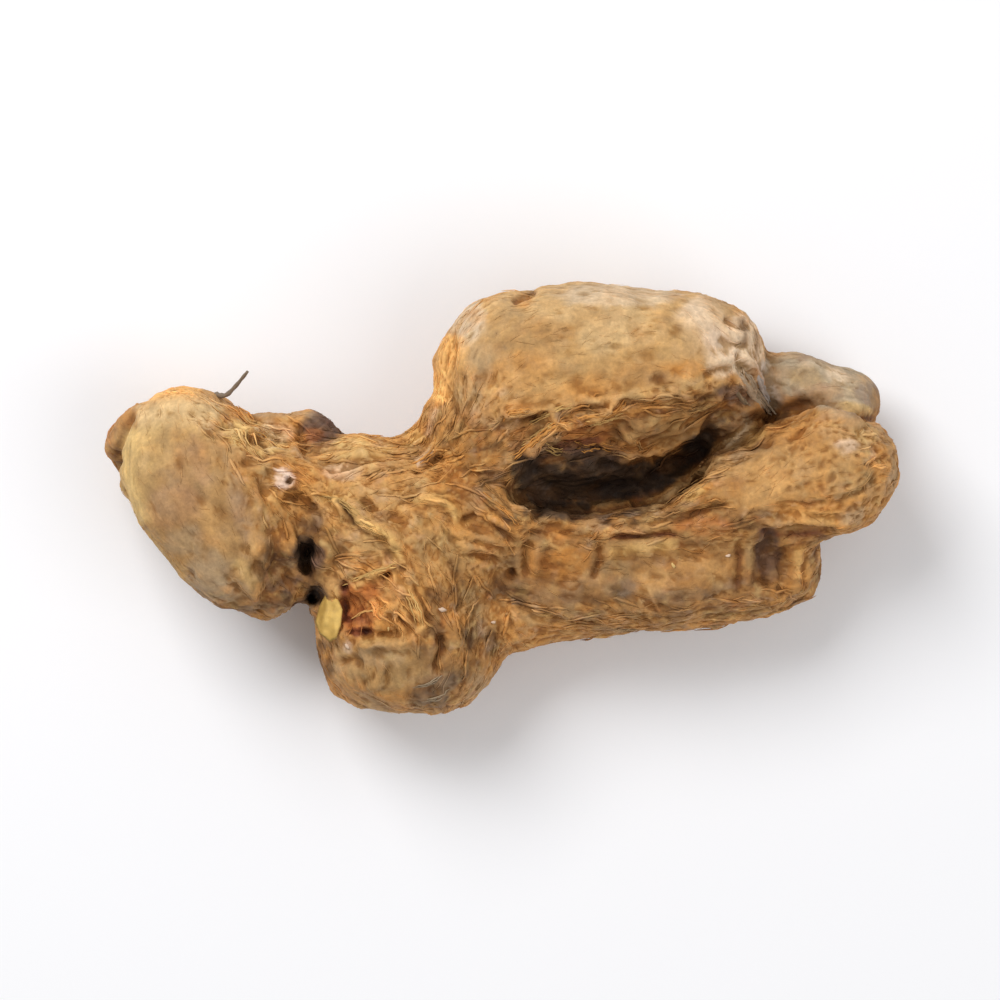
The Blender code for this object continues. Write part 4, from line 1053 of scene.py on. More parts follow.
def paintSkin(skin, looks):
    places = skin.places
    marked = drifted(skin)
    lower = 1 - smoothStep(-0.75, -0.1, skin.out[:, 2])
    edge = lumps(places, 1.6, 31, 3) * 0.5
    broad = lumps(places, 9, 32, 3)
    tint = np.tile(np.array(colours["neckBrown"]), (skin.count, 1))

    def lay(name, strength):
        share = np.clip(strength, 0, 1)[:, None]
        tint[:] = tint * (1 - share) + np.array(colours[name]) * share

    lay("greyTan", smoothStep(0.0, 0.5, broad) * wearAndShade["groundGrey"])
    lay("orange", smoothStep(0.0, 0.5, -broad) * wearAndShade["groundOrange"])
    looks["bare"] = np.ones(skin.count)
    for kind, name, strength, *rest in paintWork:
        if kind == "spot":
            reach = insideOval(marked, *rest) + edge * 0.35
            cover = 1 - smoothStep(0.7, 1.1, reach)
        else:
            half, line = rest
            gap, along, _, _ = toLine(marked, line, 4 * half)
            cover = np.exp(-((gap * (1 + 0.6 * edge)) / half) ** 2) * taper(along, 0.08)
        lay(name, strength * cover * (1 - 0.75 * lower))
        if name in keptClear or kind == "stroke":
            looks["bare"] *= 1 - 0.8 * np.clip(strength * cover, 0, 1)
    for name, strength, size, low, high, seed in mottling:
        cover = smoothStep(low, high, lumps(places, size, seed, 3, 0.6))
        lay(name, strength * cover * (0.25 + 0.75 * looks["fibrous"]) * looks["bare"])
    # Painted shade in the creases of the folds and painted highlight on their ridges
    ridgeMark, creaseMark = foldMarks(marked)
    lay("warmBrown", creaseMark * wearAndShade["foldShade"] * looks["bare"])
    lay("darkBrown", creaseMark ** 2 * wearAndShade["foldShade"] * 0.5 * looks["bare"])
    lay("golden", ridgeMark * wearAndShade["foldHighlight"] * looks["bare"])
    lay("olive", lower * smoothStep(-0.2, 0.4, lumps(places, 6, 33, 2)) * wearAndShade["underneath"])
    lay("orange", looks["peeled"] * wearAndShade["peelStrength"] * looks["bare"])
    dusty = smoothStep(0.1, 0.6, lumps(places, 3.5, 34, 3)) * smoothStep(-0.5, 0.5, looks["bump"])
    lay("dust", dusty * wearAndShade["dustStrength"] * looks["bare"])
    streak = looks["streak"] * wearAndShade["streaks"] + lumps(places, 2.5, 35, 3) * wearAndShade["clouds"]
    tint *= (1 + streak)[:, None]
    # Painted shade in the hollows of the relief and painted highlight on its ridges
    hollow = smoothStep(0.1, 1.6, -looks["bump"])
    ridge = smoothStep(0.2, 1.8, looks["bump"])
    tint *= (1 - wearAndShade["hollowShade"] * hollow)[:, None] * np.array(wearAndShade["hollowShadeTint"]) ** hollow[:, None]
    tint *= (1 + wearAndShade["ridgeHighlight"] * ridge)[:, None]
    # Painted shade where the skin is closed in, darkest in the mouth and the crevices
    deep = smoothStep(0.15, 0.75, looks["shelter"])
    tint *= (1 - wearAndShade["shadeDark"] * deep)[:, None] * np.array(wearAndShade["shadeTint"]) ** deep[:, None]
    return np.clip(tint, 0.004, 0.9)


def storeAttribute(mesh, name, kind, values):
    field = mesh.attributes.new(name, kind, "POINT")
    if kind == "FLOAT":
        field.data.foreach_set("value", values.astype(np.float32))
    elif kind == "FLOAT_VECTOR":
        field.data.foreach_set("vector", values.astype(np.float32).ravel())
    else:
        whole = np.concatenate([values, np.ones((len(values), 1))], axis=1)
        field.data.foreach_set("color", whole.astype(np.float32).ravel())


def readHeights(skin):
    # How far each point stands out from the smoothed skin around it, at three sizes, in its own spread
    total = np.zeros(skin.count)
    smooth = skin.places
    for passes, weight in ((3, 0.5), (12, 0.8), (45, 0.7)):
        smooth = skin.spread(smooth, passes)
        height = ((skin.places - smooth) * skin.out).sum(1)
        total += weight * height / height.std()
    return total


print("base skin")
skinPiece = makeBase()
skin = Skin(skinPiece)
print("points", skin.count)
sculptLargeForms(skin)
print("large forms")
addRemesh(skinPiece, skinBase["fineVoxel"], 2)
bakeModifiers(skinPiece)
skin = Skin(skinPiece)
print("points", skin.count)
run, looks = sculptSkin(skin)
print("strands")
looks["shelter"] = shelter(skin)
looks["bump"] = readHeights(skin)
print("shelter and heights")
storeAttribute(skin.mesh, "tint", "FLOAT_COLOR", paintSkin(skin, looks))
storeAttribute(skin.mesh, "run", "FLOAT_VECTOR", run)
findFibrePlaces(skin, looks)
for layer in ("fuzzy", "stringy", "downy"):
    storeAttribute(skin.mesh, layer, "FLOAT", looks[layer])
print("paint")

thinner = skinPiece.modifiers.new("thin", "DECIMATE")
thinner.ratio = min(1.0, skinBase["triangles"] / (2.0 * len(skinPiece.data.polygons)))
bakeModifiers(skinPiece)
print("faces", len(skinPiece.data.polygons), [field.name for field in skinPiece.data.attributes])


# Materials

class Tree:
    # Short ways to add nodes to the tree of a material or a modifier
    def __init__(self, tree):
        self.tree = tree

    def add(self, kind, settings=None, **inputs):
        node = self.tree.nodes.new(kind)
        for key, value in (settings or {}).items():
            setattr(node, key, value)
        for key, value in inputs.items():
            self.set(node.inputs[key.replace("_", " ")], value)
        return node

    def set(self, socket, value):
        if isinstance(value, bpy.types.NodeSocket):
            self.tree.links.new(value, socket)
        else:
            socket.default_value = value

    def maths(self, how, first, second=None, third=None):
        node = self.add("ShaderNodeMath", {"operation": how})
        for slot, value in enumerate((first, second, third)):
            if value is not None:
                self.set(node.inputs[slot], value)
        return node.outputs["Value"]

    def vectors(self, how, first, second):
        node = self.add("ShaderNodeVectorMath", {"operation": how})
        self.set(node.inputs[0], first)
        self.set(node.inputs["Scale"] if how == "SCALE" else node.inputs[1], second)
        return node.outputs["Vector"]


class Paint(Tree):
    # The tree of a new material
    def __init__(self, name):
        self.material = bpy.data.materials.new(name)
        self.material.use_nodes = True
        super().__init__(self.material.node_tree)
        self.shader = self.tree.nodes["Principled BSDF"]
        self.place = self.add("ShaderNodeTexCoord").outputs["Object"]

    def noise(self, scale, detail=3.0, rough=0.6):
        return self.add("ShaderNodeTexNoise", Vector=self.place, Scale=scale, Detail=detail,
                        Roughness=rough).outputs["Fac"]

    def scaled(self, value, newLow, newHigh, low=0.3, high=0.7):
        node = self.add("ShaderNodeMapRange", Value=value)
        for name, number in (("From Min", low), ("From Max", high), ("To Min", newLow), ("To Max", newHigh)):
            self.set(node.inputs[name], number)
        return node.outputs["Result"]

    def own(self, name, output="Color"):
        return self.add("ShaderNodeAttribute", {"attribute_name": name}).outputs[output]

    def bump(self, height, distance, strength=0.9):
        node = self.add("ShaderNodeBump", Height=height, Distance=distance, Strength=strength)
        self.set(self.shader.inputs["Normal"], node.outputs["Normal"])


skinFinish = {
    "speckScale": 2600.0,
    "grainScale": 1100.0,
    "speck": (0.88, 1.12),
    "grain": (0.9, 1.1),
    "rough": (0.62, 0.9),
    "shine": 0.3,
    "bumpHeight": 0.00005,
}


def makeSkinMaterial():
    paint = Paint("ginger_skin")
    speck = paint.noise(skinFinish["speckScale"], 3.0, 0.65)
    grain = paint.noise(skinFinish["grainScale"], 4.0, 0.6)
    shade = paint.maths("MULTIPLY", paint.scaled(speck, *skinFinish["speck"]),
                        paint.scaled(grain, *skinFinish["grain"]))
    paint.set(paint.shader.inputs["Base Color"], paint.vectors("SCALE", paint.own("tint"), shade))
    paint.set(paint.shader.inputs["Roughness"], paint.scaled(grain, *skinFinish["rough"]))
    paint.shader.inputs["Specular IOR Level"].default_value = skinFinish["shine"]
    paint.bump(paint.maths("ADD", speck, grain), skinFinish["bumpHeight"])
    return paint.material


skinPiece.data.materials.clear()
skinPiece.data.materials.append(makeSkinMaterial())
skinPiece.data.shade_smooth()


# Fibres that lie on the skin, grown by geometry nodes

# Where: the attribute that says where they grow. Density: fibres to a square metre of skin where it
# is 1. Turn: how far a fibre may turn out of the run of the skin, in radians
fibreLayers = {
    "fine_fibres": {
        "Where": "fuzzy", "Density": 1.1e6, "Seed": 4, "Shortest": 0.9 * mm, "Longest": 2.6 * mm,
        "Thin": 0.08 * mm, "Thick": 0.17 * mm, "Flatness": 0.55, "Turn": 0.55, "Bend": 0.55 * mm,
        "Bend Size": 320.0, "Lift": 0.09 * mm, "Points": 5, "Sides": 3,
    },
    "loose_strands": {
        "Where": "stringy", "Density": 5.5e5, "Seed": 9, "Shortest": 2.0 * mm, "Longest": 4.6 * mm,
        "Thin": 0.18 * mm, "Thick": 0.46 * mm, "Flatness": 0.45, "Turn": 0.4, "Bend": 1.5 * mm,
        "Bend Size": 220.0, "Lift": 0.2 * mm, "Points": 9, "Sides": 5,
    },
    "skin_down": {
        "Where": "downy", "Density": 0.7e6, "Seed": 14, "Shortest": 0.6 * mm, "Longest": 1.6 * mm,
        "Thin": 0.05 * mm, "Thick": 0.10 * mm, "Flatness": 0.5, "Turn": 0.35, "Bend": 0.4 * mm,
        "Bend Size": 500.0, "Lift": 0.04 * mm, "Points": 4, "Sides": 3,
    },
}


class GeometryTree(Tree):
    # The tree of a geometry nodes modifier with named inputs
    def __init__(self, name, inputs):
        super().__init__(bpy.data.node_groups.new(name, "GeometryNodeTree"))
        face = self.tree.interface
        face.new_socket("Geometry", in_out="OUTPUT", socket_type="NodeSocketGeometry")
        face.new_socket("Geometry", in_out="INPUT", socket_type="NodeSocketGeometry")
        self.names = {}
        for label, kind in inputs.items():
            socket = face.new_socket(label, in_out="INPUT", socket_type="NodeSocket" + kind)
            self.names[label] = socket.identifier
        self.start = self.tree.nodes.new("NodeGroupInput").outputs
        self.end = self.tree.nodes.new("NodeGroupOutput").inputs["Geometry"]

    def named(self, name, kind="FLOAT"):
        node = self.add("GeometryNodeInputNamedAttribute", {"data_type": kind}, Name=name)
        return node.outputs["Attribute"]

    def random(self, low, high, seed):
        node = self.add("FunctionNodeRandomValue", {"data_type": "FLOAT"}, Seed=seed)
        self.set(node.inputs[2], low)
        self.set(node.inputs[3], high)
        return node.outputs[1]

    def keep(self, geometry, name, value):
        node = self.add("GeometryNodeStoreNamedAttribute", {"data_type": "FLOAT", "domain": "INSTANCE"},
                        Geometry=geometry, Name=name, Value=value)
        return node.outputs["Geometry"]

    def grow(self, piece, values):
        # Replaces the piece's mesh by what the tree makes of it
        modifier = piece.modifiers.new(self.tree.name, "NODES")
        modifier.node_group = self.tree
        for label, value in values.items():
            modifier[self.names[label]] = value
        bakeModifiers(piece)


def makeFibreTree():
    tree = GeometryTree("lay_fibres", {
        "Where": "String", "Density": "Float", "Seed": "Int", "Shortest": "Float", "Longest": "Float",
        "Thin": "Float", "Thick": "Float", "Flatness": "Float", "Turn": "Float", "Bend": "Float",
        "Bend Size": "Float", "Lift": "Float", "Points": "Int", "Sides": "Int", "Material": "Material",
    })
    take = tree.start
    skin = take["Geometry"]

    # One straight fibre at each spot, along the run of the skin and turned a little
    spots = tree.add("GeometryNodeDistributePointsOnFaces", Mesh=skin, Seed=take["Seed"],
                     Density=tree.maths("MULTIPLY", tree.named(take["Where"]), take["Density"]))
    facing = tree.add("FunctionNodeAlignRotationToVector", {"axis": "X"},
                      Vector=tree.named("run", "FLOAT_VECTOR"))
    facing = tree.add("FunctionNodeAlignRotationToVector", {"axis": "Z", "pivot_axis": "X"},
                      Rotation=facing.outputs["Rotation"], Vector=spots.outputs["Normal"])
    turn = tree.random(tree.maths("MULTIPLY", take["Turn"], -1.0), take["Turn"], 3)
    about = tree.maths("MULTIPLY", tree.maths("ROUND", tree.random(0.0, 1.0, 4)), math.pi)
    spin = tree.add("FunctionNodeAxisAngleToRotation", Axis=(0, 0, 1), Angle=tree.maths("ADD", turn, about))
    facing = tree.add("FunctionNodeRotateRotation", {"rotation_space": "LOCAL"},
                      Rotation=facing.outputs["Rotation"], Rotate_By=spin.outputs["Rotation"])
    line = tree.add("GeometryNodeCurvePrimitiveLine", Start=(0, 0, 0), End=(1, 0, 0))
    line = tree.add("GeometryNodeResampleCurve", Curve=line.outputs["Curve"], Count=take["Points"])
    laid = tree.add("GeometryNodeInstanceOnPoints", Points=spots.outputs["Points"],
                    Instance=line.outputs["Curve"], Rotation=facing.outputs["Rotation"],
                    Scale=tree.random(take["Shortest"], take["Longest"], 5))
    laid = tree.keep(laid.outputs["Instances"], "width", tree.random(take["Thin"], take["Thick"], 6))
    laid = tree.keep(laid, "shade", tree.random(0.0, 1.0, 7))
    laid = tree.keep(laid, "raised", tree.random(0.0, 1.0, 8))
    laid = tree.add("GeometryNodeRealizeInstances", Geometry=laid).outputs["Geometry"]

    # Bent by a noise that neighbours share and by a curl of its own
    place = tree.add("GeometryNodeInputPosition").outputs["Position"]
    along = tree.add("GeometryNodeSplineParameter").outputs["Factor"]
    towardsTip = tree.maths("MULTIPLY", along, along)
    wave = tree.add("ShaderNodeTexNoise", Vector=place, Scale=take["Bend Size"], Detail=1.0)
    wave = tree.vectors("SUBTRACT", wave.outputs["Color"], (0.5, 0.5, 0.5))
    curl = tree.add("FunctionNodeRandomValue", {"data_type": "FLOAT_VECTOR"},
                    ID=tree.add("GeometryNodeCurveOfPoint").outputs["Curve Index"])
    tree.set(curl.inputs[0], (-0.4, -0.4, -0.4))
    tree.set(curl.inputs[1], (0.4, 0.4, 0.4))
    curl = tree.vectors("SCALE", curl.outputs[0], towardsTip)
    bent = tree.vectors("ADD", place, tree.vectors("SCALE", tree.vectors("ADD", wave, curl), take["Bend"]))

    # Laid back onto the skin, with its tip raised
    near = tree.add("GeometryNodeProximity", {"target_element": "FACES"}, Target=skin, Source_Position=bent)
    facing = tree.add("GeometryNodeSampleNearestSurface", {"data_type": "FLOAT_VECTOR"}, Mesh=skin,
                      Value=tree.add("GeometryNodeInputNormal").outputs["Normal"], Sample_Position=bent)
    rise = tree.maths("MULTIPLY", take["Lift"], tree.maths("POWER", tree.named("raised"), 2.5))
    rise = tree.maths("MULTIPLY_ADD", rise, towardsTip, tree.maths("MULTIPLY", tree.named("width"), 0.3))
    rise = tree.vectors("SCALE", facing.outputs["Value"], rise)
    laid = tree.add("GeometryNodeSetPosition", Geometry=laid,
                    Position=tree.vectors("ADD", near.outputs["Position"], rise))
    under = tree.add("GeometryNodeSampleNearestSurface", {"data_type": "FLOAT_COLOR"}, Mesh=skin,
                     Value=tree.named("tint", "FLOAT_COLOR"), Sample_Position=bent)
    laid = tree.add("GeometryNodeStoreNamedAttribute", {"data_type": "FLOAT_COLOR", "domain": "POINT"},
                    Geometry=laid.outputs["Geometry"], Name="tint", Value=under.outputs["Value"])
    laid = tree.add("GeometryNodeSetCurveNormal", {"mode": "FREE"}, Curve=laid.outputs["Geometry"],
                    Normal=facing.outputs["Value"])

    # Given its thickness, thinner at both ends
    ring = tree.add("GeometryNodeCurvePrimitiveCircle", {"mode": "RADIUS"},
                    Resolution=take["Sides"], Radius=0.5)
    flat = tree.add("ShaderNodeCombineXYZ", X=take["Flatness"], Y=1.0, Z=1.0)
    ring = tree.add("GeometryNodeTransform", Geometry=ring.outputs["Curve"], Scale=flat.outputs["Vector"])
    ends = tree.maths("ABSOLUTE", tree.maths("MULTIPLY_ADD", along, 2.0, -1.0))
    full = tree.maths("MULTIPLY_ADD", tree.maths("POWER", ends, 3.0), -0.8, 1.0)
    tube = tree.add("GeometryNodeCurveToMesh", Curve=laid.outputs["Curve"],
                    Profile_Curve=ring.outputs["Geometry"], Fill_Caps=True,
                    Scale=tree.maths("MULTIPLY", tree.named("width"), full))
    tube = tree.add("GeometryNodeRealizeInstances", Geometry=tube.outputs["Mesh"])
    tube = tree.add("GeometryNodeSetMaterial", Geometry=tube.outputs["Geometry"], Material=take["Material"])
    tree.set(tree.end, tube.outputs["Geometry"])
    return tree


# A fibre has the colour of the skin under it, painted shade and highlight included, times the shade and up
# to the spread more
fibreFinish = {
    "grainScale": 1500.0,
    "shade": 0.95,
    "shadeSpread": 0.45,
    "grain": (0.88, 1.12),
    "rough": (0.55, 0.85),
    "shine": 0.3,
}


def makeFibreMaterial():
    paint = Paint("dry_fibre")
    grain = paint.noise(fibreFinish["grainScale"])
    shade = paint.maths("MULTIPLY_ADD", paint.own("shade", "Fac"),
                        fibreFinish["shadeSpread"], fibreFinish["shade"])
    shade = paint.maths("MULTIPLY", shade, paint.scaled(grain, *fibreFinish["grain"]))
    paint.set(paint.shader.inputs["Base Color"], paint.vectors("SCALE", paint.own("tint"), shade))
    paint.set(paint.shader.inputs["Roughness"], paint.scaled(grain, *fibreFinish["rough"]))
    paint.shader.inputs["Specular IOR Level"].default_value = fibreFinish["shine"]
    return paint.material


def keepOnly(mesh, names):
    for name in [field.name for field in mesh.attributes if not field.is_required and not field.is_internal]:
        if name not in names:
            mesh.attributes.remove(mesh.attributes[name])


fibreTree = makeFibreTree()
fibreMaterial = makeFibreMaterial()
fibrePieces = []
for layerName, layer in fibreLayers.items():
    fibres = linkObject(layerName, skinPiece.data.copy())
    fibreTree.grow(fibres, dict(layer, Material=fibreMaterial))
    keepOnly(fibres.data, ("tint", "shade"))
    fibres.data.shade_smooth()
    fibrePieces.append(fibres)
    print(layerName, len(fibres.data.polygons), "faces")


# Strands, rootlet, chip and crumbs, laid from listed points

# Each bundle of strands: thickness, rise above the skin, colour, points seen from above
handStrands = [
    (0.55, 0.35, "orange", [(1.6, 4.6), (3.6, 6.2), (5.0, 7.4), (6.4, 8.4), (7.8, 8.8), (9.3, 8.9)]),
    (0.40, 0.30, "paleGold", [(2.4, 6.6), (4.2, 7.9), (6.2, 9.1), (8.4, 9.6)]),
    (0.45, 0.30, "orange", [(8.3, 9.7), (10, 10), (12.4, 10), (13.9, 10.9), (14.6, 11.9)]),
    (0.38, 0.35, "paleGold", [(9, 9.2), (11, 8.9), (13, 9.5), (14.4, 10.2)]),
    (0.45, 0.25, "orange", [(0.5, 9.2), (1, 10.2), (2.6, 10.5), (4.6, 10.4)]),
    (0.30, 0.15, "golden", [(14.2, 7.6), (15.4, 7.4), (16.4, 6.7), (17.0, 5.8)]),
    (0.32, 0.30, "orange", [(8.6, 6.8), (10.2, 6.2), (11.8, 6.5), (13.6, 6.1)]),
    (0.30, 0.40, "paleGold", [(5.4, 6.4), (6.8, 5.6), (8.4, 5.9)]),
    (0.34, 0.25, "paleGold", [(3.4, 9.2), (5.2, 9.9), (7.4, 10.9), (9.6, 11.2)]),
    (0.85, 0.20, "paleGrey", [(29.0, 15.8), (30.2, 14.2), (31.2, 12.6), (32.4, 11.0), (33.4, 10.0)]),
    (0.80, 0.20, "paleGrey", [(28.0, 15.4), (29.2, 13.8), (30.4, 12.4), (31.6, 11.2), (32.8, 10.2)]),
    (0.70, 0.20, "ashGrey", [(30.6, 15.0), (31.4, 13.4), (32.4, 11.8)]),
    (0.60, 0.20, "greyTan", [(27.4, 13.6), (28.6, 12.4), (29.8, 11.4)]),
    (0.30, 0.08, "golden", [(19.6, -0.6), (21.8, 0.8), (23.8, 2.0), (25.6, 3.2), (27.0, 4.8)]),
    (0.34, 0.30, "neckBrown", [(-3.4, 3.4), (-1.2, 1.4), (0.8, -0.6), (2.6, -2.8)]),
    (0.30, 0.30, "orange", [(-2.2, 1.0), (0.0, -0.8), (1.8, -2.4), (3.2, -4.4)]),
    (0.34, 0.30, "orange", [(-10.4, 4.1), (-9.0, 4.8), (-7.9, 5.9), (-7.5, 7.4)]),
    (0.40, 0.30, "paleGold", [(-18.6, -10.0), (-16.2, -9.0), (-13.6, -8.0), (-11.8, -7.6)]),
    (0.36, 0.30, "paleGold", [(-22.4, 0.4), (-19.2, -0.2), (-17.0, -1.8), (-14.8, -3.2)]),
    (0.30, 0.40, "paleGold", [(-11.0, -10.6), (-10.0, -12.8), (-9.2, -15.4)]),
    (0.34, 0.30, "brightOrange", [(-17.6, -14.2), (-16.0, -13.2), (-14.4, -13.0), (-13.0, -12.2)]),
    (0.30, 0.30, "paleGold", [(-33.2, 7.4), (-31.0, 7.0), (-29.0, 5.6), (-27.4, 3.6)]),
    (0.28, 0.30, "paleGold", [(-31.6, 8.6), (-28.8, 8.0), (-26.6, 6.4), (-24.6, 5.6)]),
    (0.30, 0.30, "dust", [(-9.4, -24.0), (-7.6, -23.6), (-6.2, -22.6)]),
    (0.26, 0.30, "dust", [(-10.6, -22.6), (-8.4, -22.0), (-6.8, -21.0)]),
]

# In each bundle: how many strands, how far apart and how crooked they lie, and the share that each has
# of its rise, thickness and colour
bundle = {
    "strands": 4,
    "apart": 0.22,
    "waver": 0.06,
    "rise": (0.3, 1.0),
    "sunk": 0.08,
    "thickness": (0.35, 0.75),
    "uneven": 0.18,
    "shade": (0.6, 1.15),
}

# The hair on the paddle grows from the skin nearest to its base. Its foot and tip as shares of its
# thickness
rootlet = {
    "base": (-34.2, 12.0, 14.0),
    "points": [(-33.5, 12.5, 15.0), (-32.7, 12.6, 15.3), (-31.8, 13.4, 15.9), (-30.8, 14.5, 16.9),
               (-30.1, 15.3, 17.8)],
    "thickness": 0.62,
    "foot": 1.25,
    "tip": 0.6,
    "knots": 0.12,
}

# The torn chip of inner flesh: its outline seen from above, how high it lies and leans up to the right
chip = {
    "outline": [(-20.6, -10.9), (-19.3, -11.6), (-18.7, -13.0), (-18.9, -14.9), (-19.4, -16.4),
                (-20.2, -16.9), (-21.5, -15.9), (-22.0, -14.5), (-21.5, -12.6)],
    "thickness": 0.6,
    "rise": 0.8,
    "lean": 0.4,
    "streaks": 0.6,
    "relief": 0.42,
}

# Pale crumbs of skin: size, colour, place seen from above
crumbs = [
    (1.0, "pinkPale", -6.8, -13.0),
    (0.6, "pinkPale", -0.8, -14.6),
    (0.8, "pinkPale", -18.1, -17.4),
    (0.6, "paleYellow", -13.2, -15.2),
    (0.7, "paleYellow", 20.6, -7.8),
    (0.6, "pinkPale", 27.2, -6.6),
]


def smoothPath(points, each):
    # A smooth line through the points
    points = np.array(points, float)
    path = []
    for step in range(len(points) - 1):
        before = points[max(step - 1, 0)]
        here, there = points[step], points[step + 1]
        after = points[min(step + 2, len(points) - 1)]
        for part in np.arange(each) / each:
            path.append(0.5 * (2 * here + (there - before) * part
                               + (2 * before - 5 * here + 4 * there - after) * part ** 2
                               + (3 * here - before - 3 * there + after) * part ** 3))
    path.append(points[-1])
    return np.array(path)


skinTree = BVHTree.FromPolygons([tuple(vertex.co / mm) for vertex in skinPiece.data.vertices],
                                [tuple(face.vertices) for face in skinPiece.data.polygons])


def skinHeight(x, y):
    hit, _, _, _ = skinTree.ray_cast(Vector((x, y, 60)), Vector((0, 0, -1)))
    return hit.z if hit else 0.0


def makeTube(path, sizes, sides=6):
    # A closed tube along a path: its points and faces
    path = np.array(path)
    heading = unit(np.gradient(path, axis=0))
    across = unit(np.cross(heading, [0.2, 0.1, 1.0]))
    upward = np.cross(across, heading)
    angles = np.arange(sides) * 2 * math.pi / sides
    rings = [spot + (np.cos(angles)[:, None] * a + np.sin(angles)[:, None] * u) * size / 2
             for spot, a, u, size in zip(path, across, upward, sizes)]
    faces = [tuple(range(sides))]
    for ring in range(len(path) - 1):
        for side in range(sides):
            beside = (side + 1) % sides
            faces.append((ring * sides + side, (ring + 1) * sides + side, (ring + 1) * sides + beside,
                          ring * sides + beside))
    faces.append(tuple((len(path) - 1) * sides + side for side in reversed(range(sides))))
    return np.concatenate(rings), faces


def joinParts(name, parts, material):
    # One piece of many closed parts, each with its colour
    places, faces, tints = [], [], []
    total = 0
    for spots, sides, tint in parts:
        places.append(spots)
        faces += [tuple(corner + total for corner in face) for face in sides]
        tints.append(np.broadcast_to(np.array(tint), (len(spots), 3)))
        total += len(spots)
    mesh = bpy.data.meshes.new(name)
    mesh.from_pydata((np.concatenate(places) * mm).tolist(), [], faces)
    storeAttribute(mesh, "tint", "FLOAT_COLOR", np.concatenate(tints))
    storeAttribute(mesh, "shade", "FLOAT", np.full(total, 0.15))
    shell = bmesh.new()
    shell.from_mesh(mesh)
    bmesh.ops.recalc_face_normals(shell, faces=shell.faces)
    shell.to_mesh(mesh)
    shell.free()
    mesh.materials.append(material)
    mesh.shade_smooth()
    return linkObject(name, mesh)


def layStrands():
    rng = np.random.default_rng(77)
    parts = []
    for thickness, rise, colour, points in handStrands:
        whole = smoothPath(points, 5)
        cut = 1 + len(whole) // 4
        for _ in range(bundle["strands"]):
            start = rng.integers(0, cut)
            path = whole[start:len(whole) - rng.integers(0, cut)]
            path = path + rng.standard_normal(2) * bundle["apart"]
            path = path + rng.standard_normal(path.shape) * bundle["waver"]
            heights = np.array([skinHeight(x, y) for x, y in path])
            heights = np.convolve(np.pad(heights, 2, "edge"), [0.15, 0.2, 0.3, 0.2, 0.15], "valid")
            arch = np.sin(np.linspace(0, 1, len(path)) * math.pi)
            heights += rise * rng.uniform(*bundle["rise"]) * arch ** 0.5 - bundle["sunk"]
            size = thickness * rng.uniform(*bundle["thickness"])
            uneven = 1 + bundle["uneven"] * rng.standard_normal(len(path))
            sizes = size * (0.35 + 0.65 * arch ** 0.6) * uneven
            spots, faces = makeTube(np.column_stack([path, heights]), sizes)
            parts.append((spots, faces, np.array(colours[colour]) * rng.uniform(*bundle["shade"])))
    return joinParts("rim_strands", parts, fibreMaterial)


def makeRootlet():
    base, _, _, _ = skinTree.find_nearest(Vector(rootlet["base"]))
    path = smoothPath([tuple(base)] + rootlet["points"], 5)
    along = np.linspace(0, 1, len(path))
    sizes = rootlet["thickness"] * (rootlet["foot"] - (rootlet["foot"] - rootlet["tip"]) * along ** 0.7)
    sizes *= 1 + rootlet["knots"] * np.sin(along * 31)
    spots, faces = makeTube(path, sizes, 8)
    return joinParts("rootlet", [(spots, faces, colours["grey"])], fibreMaterial)


def makeChip():
    corners = np.array(chip["outline"] + chip["outline"][:1])
    outline = [corners[:-1] * (1 - part) + corners[1:] * part for part in (0.0, 0.33, 0.67)]
    outline = np.concatenate(outline, axis=1).reshape(-1, 2)
    middle = outline.mean(axis=0)
    rings = 7
    floor = np.median([skinHeight(x, y) for x, y in outline])
    spots, faces = [], []
    for way in (1, -1):
        for ring in range(rings):
            part = (ring + 1) / rings
            flat = middle + (outline - middle) * part
            grain = noiseAt(np.column_stack([flat * 0.9, np.full(len(flat), way * 3.0)]), 55)
            belly = (1 - part ** 3) * chip["thickness"] * 0.5 * way
            lean = (flat[:, 0] - middle[0]) * chip["lean"]
            height = floor + chip["rise"] + lean + belly + grain * chip["relief"] * (1 - part ** 4)
            if ring < rings - 1 or way == 1:
                spots.append(np.column_stack([flat, height]))
    many = len(outline)
    top = np.concatenate(spots[:rings])
    under = np.concatenate(spots[rings:])
    hubs = [np.append(middle, floor + chip["rise"] + chip["thickness"] * 0.5),
            np.append(middle, floor + chip["rise"] - chip["thickness"] * 0.5)]
    places = np.concatenate([top, under, hubs])
    hubTop, hubUnder = len(places) - 2, len(places) - 1

    def index(way, ring, side):
        # The top and the underside share the outermost ring
        first = ring if way == 0 or ring == rings - 1 else rings + ring
        return first * many + side % many

    for way, hub in ((0, hubTop), (1, hubUnder)):
        for side in range(many):
            faces.append((hub, index(way, 0, side), index(way, 0, side + 1)))
            for ring in range(rings - 1):
                faces.append((index(way, ring, side), index(way, ring + 1, side),
                              index(way, ring + 1, side + 1), index(way, ring, side + 1)))
    across = smoothStep(-1.6, 1.5, places[:, 0] - middle[0] + 0.12 * (places[:, 1] - middle[1]))
    grain = lumps(places * np.array([1.0, 0.3, 1.0]), 0.7, 58, 2)
    share = np.clip(across + grain * chip["streaks"], 0, 1)[:, None]
    tint = np.array(colours["fleshDark"]) * (1 - share) + np.array(colours["flesh"]) * share
    return joinParts("torn_chip", [(places, faces, tint)], fibreMaterial)


